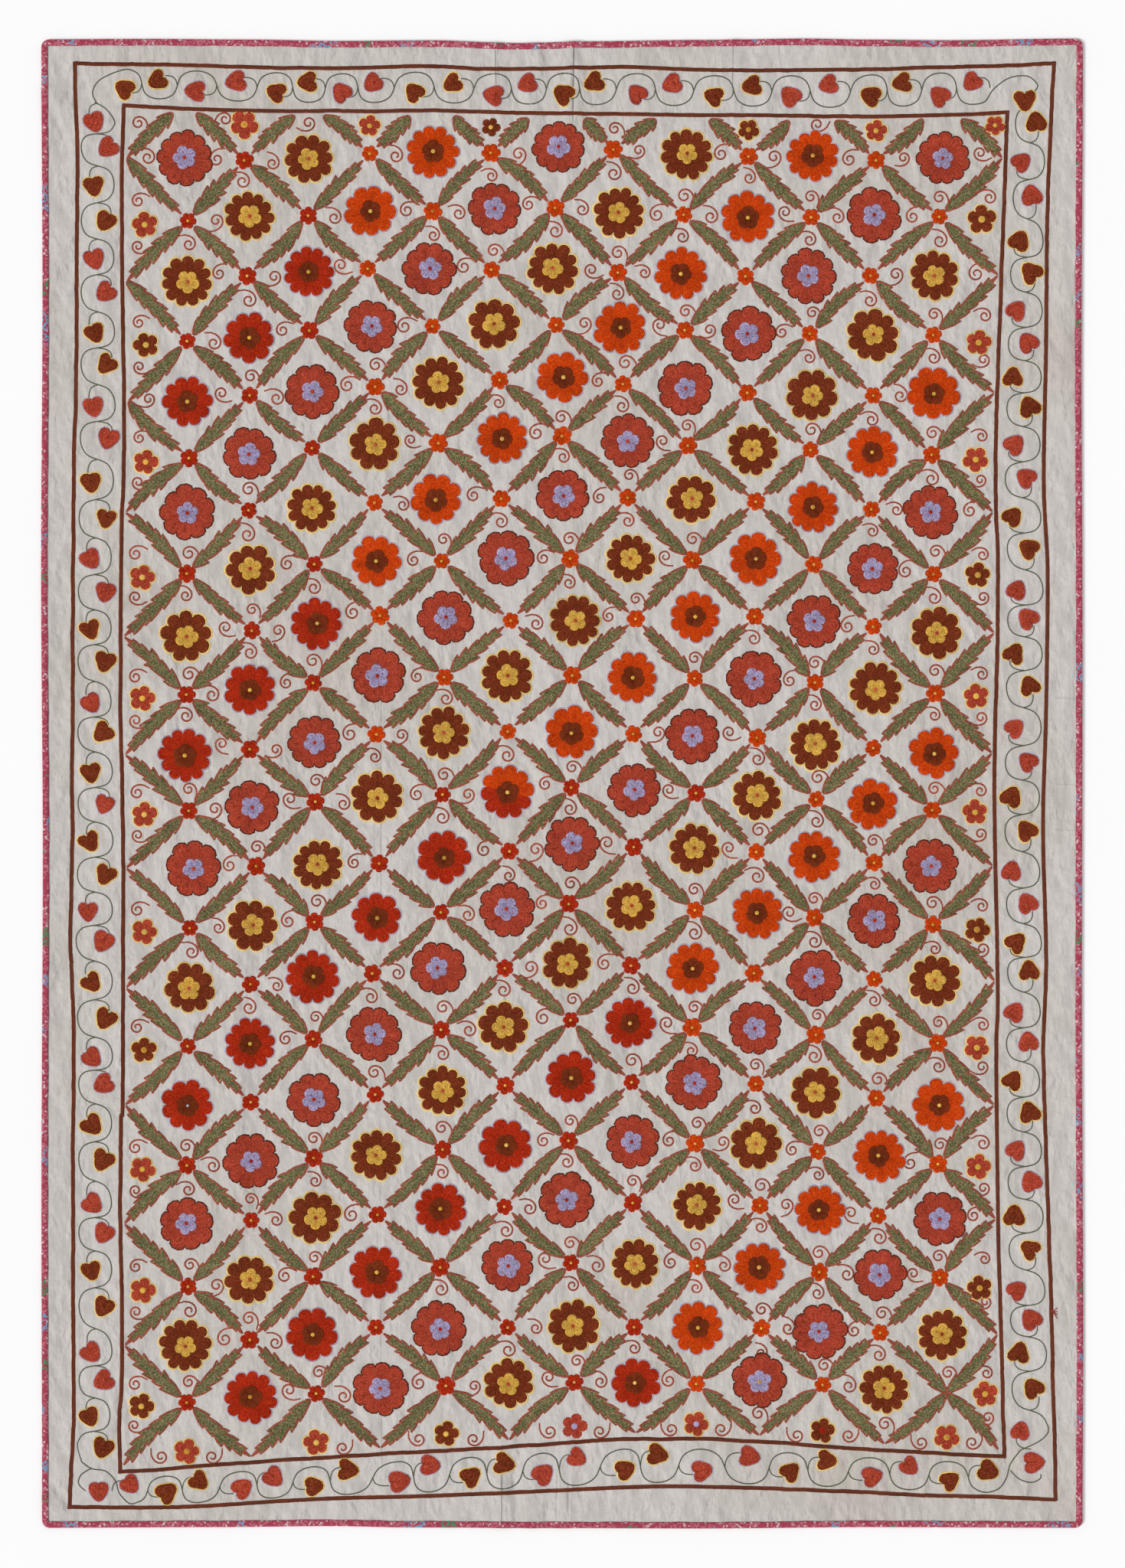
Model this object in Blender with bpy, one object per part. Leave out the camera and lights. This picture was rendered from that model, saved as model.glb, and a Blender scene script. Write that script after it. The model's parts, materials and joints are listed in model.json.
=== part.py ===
"""Embroidered suzani lying flat: one ground cloth, bound round its edge with four folded strips.

Run it with blender --background --python part.py, or from Blender's text editor.
Metres, +Z up. +X is the cloth's right side and +Y its top, with the origin under its middle.
"""

import math

import bmesh
import bpy
from mathutils import Vector

# Overall size of the bound cloth
WIDTH = 1.500
LENGTH = 2.145

# Ground cloth
CLOTH_THICKNESS = 0.0012
EDGE_SLOPE_WIDTH = 0.035

# Binding: a strip folded round the edge, with a leg above and a leg below the cloth
BINDING_WIDTH = 0.009
BINDING_THICKNESS = 0.001
BINDING_ROUNDING = 0.0008
FIT_GAP = 0.0003
BINDING_HEIGHT = 2 * BINDING_THICKNESS + CLOTH_THICKNESS + 2 * FIT_GAP

# The corners are sewn round, in arcs of two steps a strip
CORNER_RADIUS = 0.011
ARC_STEPS = 2
ARC_STEP_ANGLE = math.radians(45) / ARC_STEPS

# Grid of the cloth: cells between the lines that the folds ask for
LARGEST_CELL = 0.066
SMALLEST_CELL = 0.008
TOUCH = 1e-6

# How far each edge wanders in from a straight line
# along: place on the edge in metres from its middle; inset: millimetres
EDGE_INSETS = {
    "top": ((-0.739, 1.0), (-0.60, 0.5), (-0.45, 1.5), (-0.32, 3.5), (-0.19, 2.5), (-0.06, 6.5),
            (0.03, 4.0), (0.20, 2.0), (0.35, 0.0), (0.44, 1.5), (0.55, 2.5), (0.739, 0.0)),
    "bottom": ((-0.739, 1.0), (-0.50, 2.0), (-0.33, 3.5), (-0.22, 1.5), (0.0, 0.5), (0.20, 0.0),
               (0.45, 2.0), (0.739, 1.0)),
    "left": ((-1.06, 1.5), (-0.60, 0.5), (-0.10, 2.5), (0.30, 0.0), (0.70, 2.0), (1.06, 0.5)),
    "right": ((-1.06, 1.0), (-0.80, 0.0), (-0.30, 2.0), (0.20, 1.0), (0.60, 2.5), (1.06, 0.5)),
}

# Folds that stand up off the floor, each a soft ridge from one place to another
# start x, start y, end x, end y: metres; half width: metres; height: millimetres
FOLDS = (
    # Either side of the trough at the bottom edge, and the crease beside it
    (-0.086, -1.070, -0.088, -0.930, 0.026, 3.0),
    (-0.044, -1.070, -0.046, -0.955, 0.020, 2.5),
    (0.002, -1.070, 0.000, -0.970, 0.016, 1.6),
    # Creases that run down from the top edge
    (-0.096, 1.070, -0.094, 0.975, 0.018, 2.0),
    (-0.043, 1.070, -0.045, 0.965, 0.018, 2.0),
    (0.015, 1.070, 0.017, 0.940, 0.020, 3.0),
    (0.247, 1.070, 0.245, 0.960, 0.018, 2.4),
    # Lines left by storage, down the left of the field and down its middle
    (-0.462, -0.040, -0.468, -0.610, 0.024, 2.4),
    (-0.022, 0.300, -0.019, -0.510, 0.024, 2.0),
    # Puckers between the motifs
    (-0.600, 0.581, -0.505, 0.578, 0.024, 3.4),
    (0.562, 0.786, 0.634, 0.724, 0.020, 2.6),
    (0.540, 0.458, 0.602, 0.390, 0.020, 2.6),
    (0.088, 0.407, 0.166, 0.332, 0.020, 2.4),
    (0.306, -0.775, 0.366, -0.826, 0.024, 3.0),
    (0.095, -0.546, 0.206, -0.540, 0.020, 2.6),
    (0.186, -0.690, 0.222, -0.745, 0.022, 2.6),
    (-0.040, -0.730, -0.004, -0.772, 0.022, 2.2),
    # Lifted places in the margin by the left corners
    (-0.740, 1.000, -0.690, 0.935, 0.024, 2.8),
    (-0.700, -0.960, -0.739, -1.050, 0.024, 2.4),
)

COLOURS = {
    "ground_cloth": (0.68, 0.65, 0.62),
    "binding": (0.46, 0.07, 0.13),
}


def clear_scene():
    for obj in list(bpy.data.objects):
        bpy.data.objects.remove(obj, do_unlink=True)


def make_material(name, colour, roughness):
    material = bpy.data.materials.new(name)
    material.use_nodes = True
    shader = material.node_tree.nodes["Principled BSDF"]
    shader.inputs["Base Color"].default_value = (*colour, 1.0)
    shader.inputs["Roughness"].default_value = roughness
    shader.inputs["Metallic"].default_value = 0.0
    return material


def smooth_step(t):
    t = min(max(t, 0.0), 1.0)
    return t * t * (3.0 - 2.0 * t)


def clamp(value, limit):
    return min(max(value, -limit), limit)


def inset(side, along):
    """How far an edge lies in from its straight line, at a place along it."""
    rows = EDGE_INSETS[side]
    if along <= rows[0][0]:
        return rows[0][1] / 1000
    for (start, low), (end, high) in zip(rows, rows[1:]):
        if along <= end:
            return (low + (high - low) * smooth_step((along - start) / (end - start))) / 1000
    return rows[-1][1] / 1000


def wander(x, y):
    """Move a point near an edge in with that edge."""
    straight_x = WIDTH / 2 - CORNER_RADIUS
    straight_y = LENGTH / 2 - CORNER_RADIUS
    along_x = clamp(x, straight_x)
    along_y = clamp(y, straight_y)
    moved_x, moved_y = x, y
    if x <= -straight_x + TOUCH:
        moved_x += inset("left", along_y)
    elif x >= straight_x - TOUCH:
        moved_x -= inset("right", along_y)
    if y <= -straight_y + TOUCH:
        moved_y += inset("bottom", along_x)
    elif y >= straight_y - TOUCH:
        moved_y -= inset("top", along_x)
    return moved_x, moved_y


def fold_height(x, y, fold):
    """Height of one fold over a point: a cosine ridge that dies away at its ends."""
    x1, y1, x2, y2, half_width, height = fold
    run_x, run_y = x2 - x1, y2 - y1
    length = math.hypot(run_x, run_y)
    place = ((x - x1) * run_x + (y - y1) * run_y) / length
    across = abs((x - x1) * run_y - (y - y1) * run_x) / length
    if across >= half_width:
        return 0.0
    ends = smooth_step((place + half_width) / (2 * half_width))
    ends *= smooth_step((length - place + half_width) / (2 * half_width))
    return height / 1000 * ends * 0.5 * (1 + math.cos(math.pi * across / half_width))


def lift(x, y):
    """Height of the cloth's underside off the floor. It is level across the binding."""
    x = clamp(x, WIDTH / 2 - CORNER_RADIUS)
    y = clamp(y, LENGTH / 2 - CORNER_RADIUS)
    return max(fold_height(x, y, fold) for fold in FOLDS)


def edge_rise(x, y):
    """Near the edge the cloth climbs onto the binding's lower leg."""
    inward = min(WIDTH / 2 - abs(x), LENGTH / 2 - abs(y))
    fade = (inward - CORNER_RADIUS) / EDGE_SLOPE_WIDTH
    return (BINDING_THICKNESS + FIT_GAP) * (1.0 - smooth_step(fade))


def grid_lines(half_size, wanted):
    """Places of the grid's lines between the two edge bands, dense where folds need them."""
    straight = half_size - CORNER_RADIUS
    slope_end = straight - EDGE_SLOPE_WIDTH
    fixed = [-straight, -slope_end, slope_end, straight]
    lines = list(fixed)
    for place in sorted(wanted):
        if all(abs(place - line) >= SMALLEST_CELL for line in lines) and abs(place) < straight:
            lines.append(place)
    lines.sort()
    filled = [lines[0]]
    for line in lines[1:]:
        start = filled[-1]
        cells = math.ceil((line - start) / LARGEST_CELL)
        filled.extend(start + (line - start) * k / cells for k in range(1, cells + 1))
    return filled


def fold_lines(axis):
    """Grid lines that each fold asks for: its crest and flanks, or a pucker's two ends."""
    wanted = []
    for fold in FOLDS:
        start, end, half_width = fold[axis], fold[axis + 2], fold[4]
        middle = (start + end) / 2
        if abs(end - start) < half_width:
            wanted += [middle, middle - half_width, middle + half_width]
        else:
            wanted += [middle, start, end]
    return wanted


def corner_point(i, j, sign_x, sign_y):
    """Point of the cloth's rounded corner, i and j lines in from the two edges."""
    centre_x = sign_x * (WIDTH / 2 - CORNER_RADIUS)
    centre_y = sign_y * (LENGTH / 2 - CORNER_RADIUS)
    radius = CORNER_RADIUS - BINDING_THICKNESS - FIT_GAP
    angle = math.radians(45) + (j - i) * -ARC_STEP_ANGLE
    if i == 0 or j == 0:
        reach = radius
    else:
        reach = radius / 2
        angle = math.radians(45) * (1 + i - j)
    if i == ARC_STEPS and j == ARC_STEPS:
        reach = 0.0
    return (centre_x + sign_x * reach * math.cos(angle), centre_y + sign_y * reach * math.sin(angle))


def edge_lines(half_size, inner):
    """Add the two lines of each edge band outside the inner lines."""
    outer = half_size - BINDING_THICKNESS - FIT_GAP
    middle = (outer + half_size - CORNER_RADIUS) / 2
    return [-outer, -middle, *inner, middle, outer]


def build_ground_cloth(columns, rows):
    mesh = bpy.data.meshes.new("ground_cloth")
    bm = bmesh.new()
    last_i, last_j = len(columns) - 1, len(rows) - 1
    points = []
    for j, y in enumerate(rows):
        line = []
        for i, x in enumerate(columns):
            from_x, from_y = min(i, last_i - i), min(j, last_j - j)
            px, py = x, y
            if from_x <= ARC_STEPS and from_y <= ARC_STEPS:
                px, py = corner_point(from_x, from_y, math.copysign(1, x), math.copysign(1, y))
            height = lift(px, py) + edge_rise(px, py)
            line.append(bm.verts.new((*wander(px, py), height)))
        points.append(line)
    for j in range(last_j):
        for i in range(last_i):
            bm.faces.new((points[j][i], points[j][i + 1], points[j + 1][i + 1], points[j + 1][i]))
    bm.to_mesh(mesh)
    bm.free()
    cloth = bpy.data.objects.new("ground_cloth", mesh)
    bpy.context.collection.objects.link(cloth)
    thickness = cloth.modifiers.new("cloth_thickness", "SOLIDIFY")
    thickness.thickness = CLOTH_THICKNESS
    thickness.offset = 1.0
    mesh.shade_smooth()
    mesh.set_sharp_from_angle(angle=math.radians(40))
    return cloth


def binding_section():
    """Outline of the folded strip: distance in from the edge, and height."""
    top = BINDING_HEIGHT
    inner_end = BINDING_WIDTH
    wall = BINDING_THICKNESS
    curve = BINDING_ROUNDING
    return (
        (inner_end, 0.0), (curve, 0.0), (0.0, curve), (0.0, top - curve), (curve, top),
        (inner_end, top), (inner_end, top - wall), (wall, top - wall), (wall, wall), (inner_end, wall),
    )


def edge_stations(side, lines):
    """Stations along one edge, as (centre of its turn or foot, outward direction, end shift)."""
    across = side in ("top", "bottom")
    sign = 1 if side in ("top", "right") else -1
    straight_x = WIDTH / 2 - CORNER_RADIUS
    straight_y = LENGTH / 2 - CORNER_RADIUS
    outward = Vector((0, sign)) if across else Vector((sign, 0))
    along = Vector((1, 0)) if across else Vector((0, 1))
    stations = []
    for end in (-1, 1):
        if across:
            centre = Vector((end * straight_x, sign * straight_y))
        else:
            centre = Vector((sign * straight_x, end * straight_y))
        turns = range(ARC_STEPS, 0, -1) if end == -1 else range(1, ARC_STEPS + 1)
        for turn in turns:
            angle = turn * ARC_STEP_ANGLE
            direction = outward * math.cos(angle) + along * end * math.sin(angle)
            tangent = along * math.cos(angle) - outward * end * math.sin(angle)
            shift = tangent * -end * FIT_GAP / 2 if turn == ARC_STEPS else Vector((0, 0))
            stations.append((centre, direction, shift))
        if end == -1:
            for place in lines:
                foot = Vector((place, sign * straight_y)) if across else Vector((sign * straight_x, place))
                stations.append((foot, outward, Vector((0, 0))))
    return stations


def build_binding(side, lines):
    mesh = bpy.data.meshes.new("binding_" + side)
    bm = bmesh.new()
    rings = []
    for foot, direction, shift in edge_stations(side, lines):
        rise = lift(foot.x, foot.y)
        ring = []
        for inward, height in binding_section():
            place = foot + direction * (CORNER_RADIUS - inward)
            x, y = wander(place.x, place.y)
            ring.append(bm.verts.new((x + shift.x, y + shift.y, height + rise)))
        rings.append(ring)
    for ring, following in zip(rings, rings[1:]):
        for k in range(len(ring)):
            n = (k + 1) % len(ring)
            bm.faces.new((ring[k], ring[n], following[n], following[k]))
    bm.faces.new(rings[0])
    bm.faces.new(rings[-1])
    bmesh.ops.recalc_face_normals(bm, faces=bm.faces)
    bm.to_mesh(mesh)
    bm.free()
    strip = bpy.data.objects.new("binding_" + side, mesh)
    bpy.context.collection.objects.link(strip)
    mesh.shade_smooth()
    mesh.set_sharp_from_angle(angle=math.radians(40))
    return strip


def main():
    clear_scene()
    inner_columns = grid_lines(WIDTH / 2, fold_lines(0))
    inner_rows = grid_lines(LENGTH / 2, fold_lines(1))
    columns = edge_lines(WIDTH / 2, inner_columns)
    rows = edge_lines(LENGTH / 2, inner_rows)

    cloth = build_ground_cloth(columns, rows)
    cloth.data.materials.append(make_material("ground_cloth", COLOURS["ground_cloth"], 0.9))
    for side, lines in (("top", inner_columns), ("bottom", inner_columns),
                        ("left", inner_rows), ("right", inner_rows)):
        strip = build_binding(side, lines)
        strip.data.materials.append(make_material("binding_" + side, COLOURS["binding"], 0.8))


main()
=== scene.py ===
"""Looks of an embroidered suzani that lies flat on a pale floor.

Laid out as a Blender add-on and run as a script: each operator builds one group of pieces.
Metres, +Z up. +X is the cloth's right side and +Y its top, with the origin under its middle.
Places of the motifs are in photo pixels, and place() turns them into metres. Sizes are real.
"""

import json
import math
from collections import namedtuple

import bpy
import numpy as np
from bpy.props import FloatProperty, FloatVectorProperty, IntProperty, PointerProperty
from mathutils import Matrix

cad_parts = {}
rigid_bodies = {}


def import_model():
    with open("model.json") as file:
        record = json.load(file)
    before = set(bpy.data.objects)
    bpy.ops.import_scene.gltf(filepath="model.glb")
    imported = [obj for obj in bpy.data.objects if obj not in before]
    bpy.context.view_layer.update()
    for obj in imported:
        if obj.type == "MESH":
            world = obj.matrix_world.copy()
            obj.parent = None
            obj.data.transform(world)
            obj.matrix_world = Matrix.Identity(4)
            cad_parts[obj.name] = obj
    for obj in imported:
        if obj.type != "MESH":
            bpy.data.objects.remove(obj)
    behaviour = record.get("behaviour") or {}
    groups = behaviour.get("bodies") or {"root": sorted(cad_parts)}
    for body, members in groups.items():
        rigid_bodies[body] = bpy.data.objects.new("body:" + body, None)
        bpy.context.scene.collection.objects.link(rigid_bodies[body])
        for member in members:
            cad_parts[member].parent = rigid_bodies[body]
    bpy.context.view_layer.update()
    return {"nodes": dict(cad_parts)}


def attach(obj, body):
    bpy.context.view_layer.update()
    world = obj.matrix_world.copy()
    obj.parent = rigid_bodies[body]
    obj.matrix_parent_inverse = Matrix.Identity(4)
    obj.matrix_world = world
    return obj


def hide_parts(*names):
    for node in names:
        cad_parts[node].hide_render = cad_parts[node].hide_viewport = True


bl_info = {
    "name": "Embroidered suzani",
    "version": (1, 0, 0),
    "blender": (4, 5, 0),
    "location": "View3D > Sidebar > Suzani",
    "description": "Builds a suzani: ground cloth, printed binding and chain-stitch embroidery",
    "category": "Object",
}

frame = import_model()

# Photo pixels to metres, and the pixel over the cloth's middle
METRES_PER_PIXEL = 1.5 / 1360
MIDDLE_PIXEL = (734.0, 1023.5)

# How far each edge wanders in from a straight line
# along: place on the edge in metres from its middle; inset: millimetres
EDGE_INSETS = {
    "top": ((-0.739, 1.0), (-0.60, 0.5), (-0.45, 1.5), (-0.32, 3.5), (-0.19, 2.5), (-0.06, 6.5),
            (0.03, 4.0), (0.20, 2.0), (0.35, 0.0), (0.44, 1.5), (0.55, 2.5), (0.739, 0.0)),
    "bottom": ((-0.739, 1.0), (-0.50, 2.0), (-0.33, 3.5), (-0.22, 1.5), (0.0, 0.5), (0.20, 0.0),
               (0.45, 2.0), (0.739, 1.0)),
    "left": ((-1.06, 1.5), (-0.60, 0.5), (-0.10, 2.5), (0.30, 0.0), (0.70, 2.0), (1.06, 0.5)),
    "right": ((-1.06, 1.0), (-0.80, 0.0), (-0.30, 2.0), (0.20, 1.0), (0.60, 2.5), (1.06, 0.5)),
}

# Folds of the CAD cloth
# start x, start y, end x, end y, half width: metres; height: millimetres
FOLDS = (
    (-0.086, -1.070, -0.088, -0.930, 0.026, 3.0), (-0.044, -1.070, -0.046, -0.955, 0.020, 2.5),
    (0.002, -1.070, 0.000, -0.970, 0.016, 1.6), (-0.096, 1.070, -0.094, 0.975, 0.018, 2.0),
    (-0.043, 1.070, -0.045, 0.965, 0.018, 2.0), (0.015, 1.070, 0.017, 0.940, 0.020, 3.0),
    (0.247, 1.070, 0.245, 0.960, 0.018, 2.4), (-0.462, -0.040, -0.468, -0.610, 0.024, 2.4),
    (-0.022, 0.300, -0.019, -0.510, 0.024, 2.0), (-0.600, 0.581, -0.505, 0.578, 0.024, 3.4),
    (0.562, 0.786, 0.634, 0.724, 0.020, 2.6), (0.540, 0.458, 0.602, 0.390, 0.020, 2.6),
    (0.088, 0.407, 0.166, 0.332, 0.020, 2.4), (0.306, -0.775, 0.366, -0.826, 0.024, 3.0),
    (0.095, -0.546, 0.206, -0.540, 0.020, 2.6), (0.186, -0.690, 0.222, -0.745, 0.022, 2.6),
    (-0.040, -0.730, -0.004, -0.772, 0.022, 2.2), (-0.740, 1.000, -0.690, 0.935, 0.024, 2.8),
    (-0.700, -0.960, -0.739, -1.050, 0.024, 2.4),
)

# Lattice of flowers and buttons: columns 0 to 12 and rows 0 to 21 stand inside the frame.
# Every third column of every second row, photo pixels: x, y for each column of LATTICE_COLUMNS
LATTICE_COLUMNS = (0, 3, 6, 9, 12)
LATTICE_ROWS = {
    0: ((243, 208), (484, 202), (728, 194), (978, 205), (1231, 205)),
    2: ((246, 366), (482, 351), (722, 353), (974, 360), (1220, 360)),
    4: ((246, 524), (490, 504), (734, 494), (977, 515), (1220, 515)),
    6: ((244, 671), (488, 658), (737, 648), (986, 657), (1215, 671)),
    8: ((243, 831), (496, 806), (750, 811), (984, 806), (1221, 826)),
    10: ((243, 985), (493, 960), (745, 955), (987, 965), (1218, 982)),
    12: ((251, 1135), (497, 1126), (747, 1102), (989, 1112), (1216, 1132)),
    14: ((247, 1292), (488, 1270), (742, 1259), (986, 1271), (1222, 1283)),
    16: ((246, 1443), (492, 1430), (745, 1409), (985, 1416), (1226, 1445)),
    18: ((245, 1600), (494, 1586), (742, 1568), (992, 1576), (1226, 1592)),
    20: ((243, 1758), (490, 1735), (748, 1730), (992, 1735), (1229, 1744)),
    21: ((245, 1832), (497, 1813), (749, 1805), (991, 1805), (1234, 1820)),
}
LAST_COLUMN = 12
LAST_ROW = 21

# The brown frame's two double lines, photo pixels: (x, y) along top and bottom, (y, x) down the sides
OUTER_FRAME = {
    "top": ((100, 83), (160, 85), (300, 88), (440, 91), (560, 88), (640, 91), (800, 89), (920, 93),
            (1080, 93), (1200, 90), (1320, 86), (1376, 83)),
    "bottom": ((91, 1968), (240, 1969), (360, 1962), (440, 1958), (560, 1955), (720, 1948),
               (840, 1943), (920, 1943), (1100, 1948), (1200, 1952), (1360, 1957), (1378, 1958)),
    "left": ((83, 98), (230, 100), (480, 99), (730, 96), (930, 95), (1100, 95), (1230, 92), (1400, 96),
             (1800, 97), (1880, 95), (1968, 91)),
    "right": ((83, 1376), (230, 1369), (450, 1367), (630, 1364), (750, 1369), (930, 1367), (1080, 1363),
              (1250, 1367), (1380, 1363), (1480, 1366), (1630, 1370), (1830, 1375), (1958, 1378)),
}
INNER_FRAME = {
    "top": ((162, 138), (240, 141), (360, 144), (560, 145), (720, 148), (1000, 150), (1100, 152),
            (1200, 150), (1315, 147)),
    "bottom": ((157, 1922), (280, 1914), (440, 1903), (560, 1895), (720, 1885), (840, 1879),
               (980, 1882), (1120, 1892), (1200, 1896), (1311, 1902)),
    "left": ((138, 162), (300, 160), (550, 163), (730, 157), (930, 157), (1000, 159), (1100, 160),
             (1430, 159), (1480, 157), (1780, 158), (1850, 155), (1922, 157)),
    "right": ((147, 1315), (230, 1313), (430, 1305), (630, 1300), (760, 1304), (980, 1300), (1080, 1300),
              (1300, 1304), (1380, 1302), (1630, 1305), (1830, 1309), (1902, 1311)),
}

# Hearts of the border: photo pixels along each side, and the thread of each, brown or crimson
HEARTS = {
    "top": ((164, 207, 257, 310, 362, 403, 447, 488, 542, 592, 646, 690, 737, 777, 833, 879, 933, 983,
             1033, 1083, 1138, 1179, 1228, 1270), "bbccbbccbbccbbccbbccbbcc"),
    "right": ((161, 213, 257, 316, 357, 407, 449, 494, 533, 582, 625, 676, 717, 772, 809, 855, 897, 952,
               996, 1042, 1086, 1139, 1181, 1232, 1269, 1323, 1362, 1412, 1454, 1503, 1544, 1589, 1632,
               1686, 1724, 1768, 1814, 1870), "bccbbccbbccbbccbbccbbccbbccbbccbbccbbc"),
    "left": ((158, 192, 242, 288, 337, 381, 434, 475, 530, 571, 629, 676, 729, 772, 821, 863, 917, 956,
              1008, 1049, 1098, 1141, 1189, 1228, 1282, 1329, 1380, 1415, 1468, 1514, 1571, 1609, 1658,
              1705, 1765, 1802, 1849, 1889), "ccbbccbbccbbccbbcbbcbbccbbccbbccbbccbb"),
    "bottom": ((169, 217, 259, 315, 356, 409, 453, 520, 560, 614, 657, 708, 752, 815, 857, 915, 977,
                1031, 1078, 1137, 1186, 1239, 1289), "cbbccbbccbbccbbccbbccbb"),
}
# Corner hearts: x, y in photo pixels, angle of the notch, thread
CORNER_HEARTS = ((1338, 130, 90, "b"), (1348, 1910, 180, "c"), (129, 1946, 90, "c"))

# Vine at the corners, photo pixels: points before a side's first arc, points after its last one
VINE_ENDS = {
    "top": (((127, 136), (121, 122), (128, 107), (145, 97)),
            ((1286, 133), (1297, 117), (1318, 102), (1342, 100), (1355, 112), (1350, 120))),
    "right": ((), ((1357, 1882), (1332, 1894))),
    "bottom": (((107, 1909), (120, 1918), (138, 1921), (151, 1934), (156, 1950)),
               ((1304, 1944), (1314, 1930), (1319, 1912), (1332, 1894))),
    "left": (((124, 134), (138, 142)), ((107, 1909),)),
}
CORNER_TENDRILS = (((120, 1917), (106, 1926), (103, 1938), (112, 1947)),
                   ((1319, 1920), (1330, 1931), (1346, 1936), (1358, 1931), (1359, 1925)))
# A loose tuft of thread on the outer line
TUFT = (1371, 1711)

# Threads of hearts and of the petals of small flowers
PETALS = {"b": "brown", "c": "crimson"}
# Small flowers by the frame, one for each node that the frame cuts off
# top ones: petals, radius as a share of the usual one; bottom ones: petals, dot
TOP_FLOWERS = {1: ("c", 1.08), 3: ("c", 0.80), 5: ("b", 0.72), 9: ("b", 0.80), 11: ("c", 0.82)}
TOP_LAST_FLOWER = (1299, 164, "c", 0.74)
NO_HALO = (5, 6)
BOTTOM_FLOWERS = {0: ("c", "yellow"), 2: ("c", "yellow"), 4: ("b", "yellow"), 6: ("c", "lavender"),
                  8: ("c", "lavender"), 10: ("b", "red"), 12: ("c", "yellow")}
LEFT_BROWN_ROWS = (3, 15, 21)
RIGHT_BROWN_ROWS = (1, 7, 13, 19)
# how many pixels they lie in from the inner line
TOP_IN, BOTTOM_IN, LEFT_IN, RIGHT_IN = 20, 21, 29, 27
# Flowers by the right side that stand apart: pixels right, pixels down, size share
RIGHT_APART = {1: (-2, -4, 1.15), 21: (4, -13, 1.0)}

# Curls by row: column, then the sides of the button that have one (top, left, right, bottom)
CURLS = {
    0: "1LRB 3R 5RB 7TRB 9LRB 11LR",
    1: "0RB 2R 4LRB 6LRB 8TLRB 10TLRB 12TLB",
    2: "1LRB 3L 5TL 7TLRB 11RB",
    3: "0R 2L 4L 6R 8TLR 10TLB 12TB",
    4: "1TLR 3TLRB 5B 7TLB 11RB",
    5: "4L 6TLB 8TL 10T 12TB",
    6: "1TB 3R 5LB 7TLB 11RB",
    7: "0TB 2LB 4TL 6TLB 8TL 12TLB",
    8: "1TLRB 3L 5R 7TL 9B 11LB",
    9: "0TRB 2TL 4LB 8T 10TLB 12TB",
    10: "1LR 3LRB 5B 7R 9LB",
    11: "0TR 2TLR 4TLRB 6TLB 8L 10TB 12T",
    12: "1TL 3L 5LRB 7L 9TLB 11TB",
    13: "0RB 2TL 4R 6TLB 8TB 10TLB 12TB",
    14: "1RB 3RB 5RB 7LB 11B",
    15: "2TL 4TRB 6TL 8TLB 10TB 12TB",
    16: "3T 7T 9TB 11T",
    17: "0TRB 2TB 4TB 6TLB 8TLRB 10TLB 12TL",
    18: "1TR 3L 5RB 7T 9TLRB 11LB",
    19: "0TRB 2TL 4B 6TLRB 8TLRB 10TRB 12TL",
    20: "1TLR 5RB 7B 9TRB 11TLB",
    21: "0T 2TLR 4LR 6TLR 8L 10TR 12T",
}
# Each flower by a side has a curl above and below it, but in these rows it has none below
NO_LOWER_CURL = {"left": (13, 15), "right": (1,)}
# Each flower by the bottom has a curl at its left and right, but in this column none at the left
NO_LEFT_CURL = 2
# column, row, side of a node on the frame that has a curl
FRAME_CURLS = ((-1, 0, "R"), (-1, 4, "R"), (13, 0, "L"), (13, 2, "L"), (13, 6, "L"), (13, 18, "L"),
               (9, 22, "T"), (11, 22, "T"))
# Curls along the top: x, y in photo pixels, angle of the outer end, way it turns
TOP_CURLS = ((181, 161, -50, 1), (294, 156, -145, -1), (403, 161, -160, 1), (1067, 163, 15, -1))

# Flowers with orange or red petals: the last red column of each falling diagonal (column + row)
LAST_RED = {4: 2, 10: 2, 16: 4, 22: 7, 28: 7}
TWO_TONE = (5, 11)
# Buttons: the last red column of the rows above and below a row, and one more red button
LAST_RED_BUTTON = (2, 7)
BUTTON_TURN_ROW = 11
RED_BUTTON = (8, 11)
# Flowers whose dot has another thread than its kind, or none
OTHER_DOTS = {(0, 16): None, (9, 21): "yellow"}
NO_BUTTON = (12, 21)
# Motifs that stand off the even lattice: pixels right, pixels down
NUDGES = {(1, 0): (-4, 4), (2, 0): (0, 5), (5, 0): (-7, 5), (7, 0): (-11, -3), (11, 0): (-4, 4)}
# How far every motif strays from its place, and where the nodes that the frame cuts off lie, pixels
STRAY = 2.0
SIDE_NODE_IN, BOTTOM_NODE_IN, TOP_NODE_UP = 5, 8, 73


def dye(red, green, blue):
    """A colour seen in the photo, as the linear values that the shaders take."""
    return tuple(((v / 255 + 0.055) / 1.055) ** 2.4 if v > 10 else v / 255 / 12.92
                 for v in (red, green, blue))


def colour_property(name, default, description):
    return FloatVectorProperty(name=name, description=description, default=default, size=3,
                               subtype="COLOR", min=0.0, max=1.0)


def length_property(name, default, description):
    return FloatProperty(name=name, description=description, default=default, unit="LENGTH",
                         subtype="DISTANCE", min=0.0, precision=4)


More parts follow.
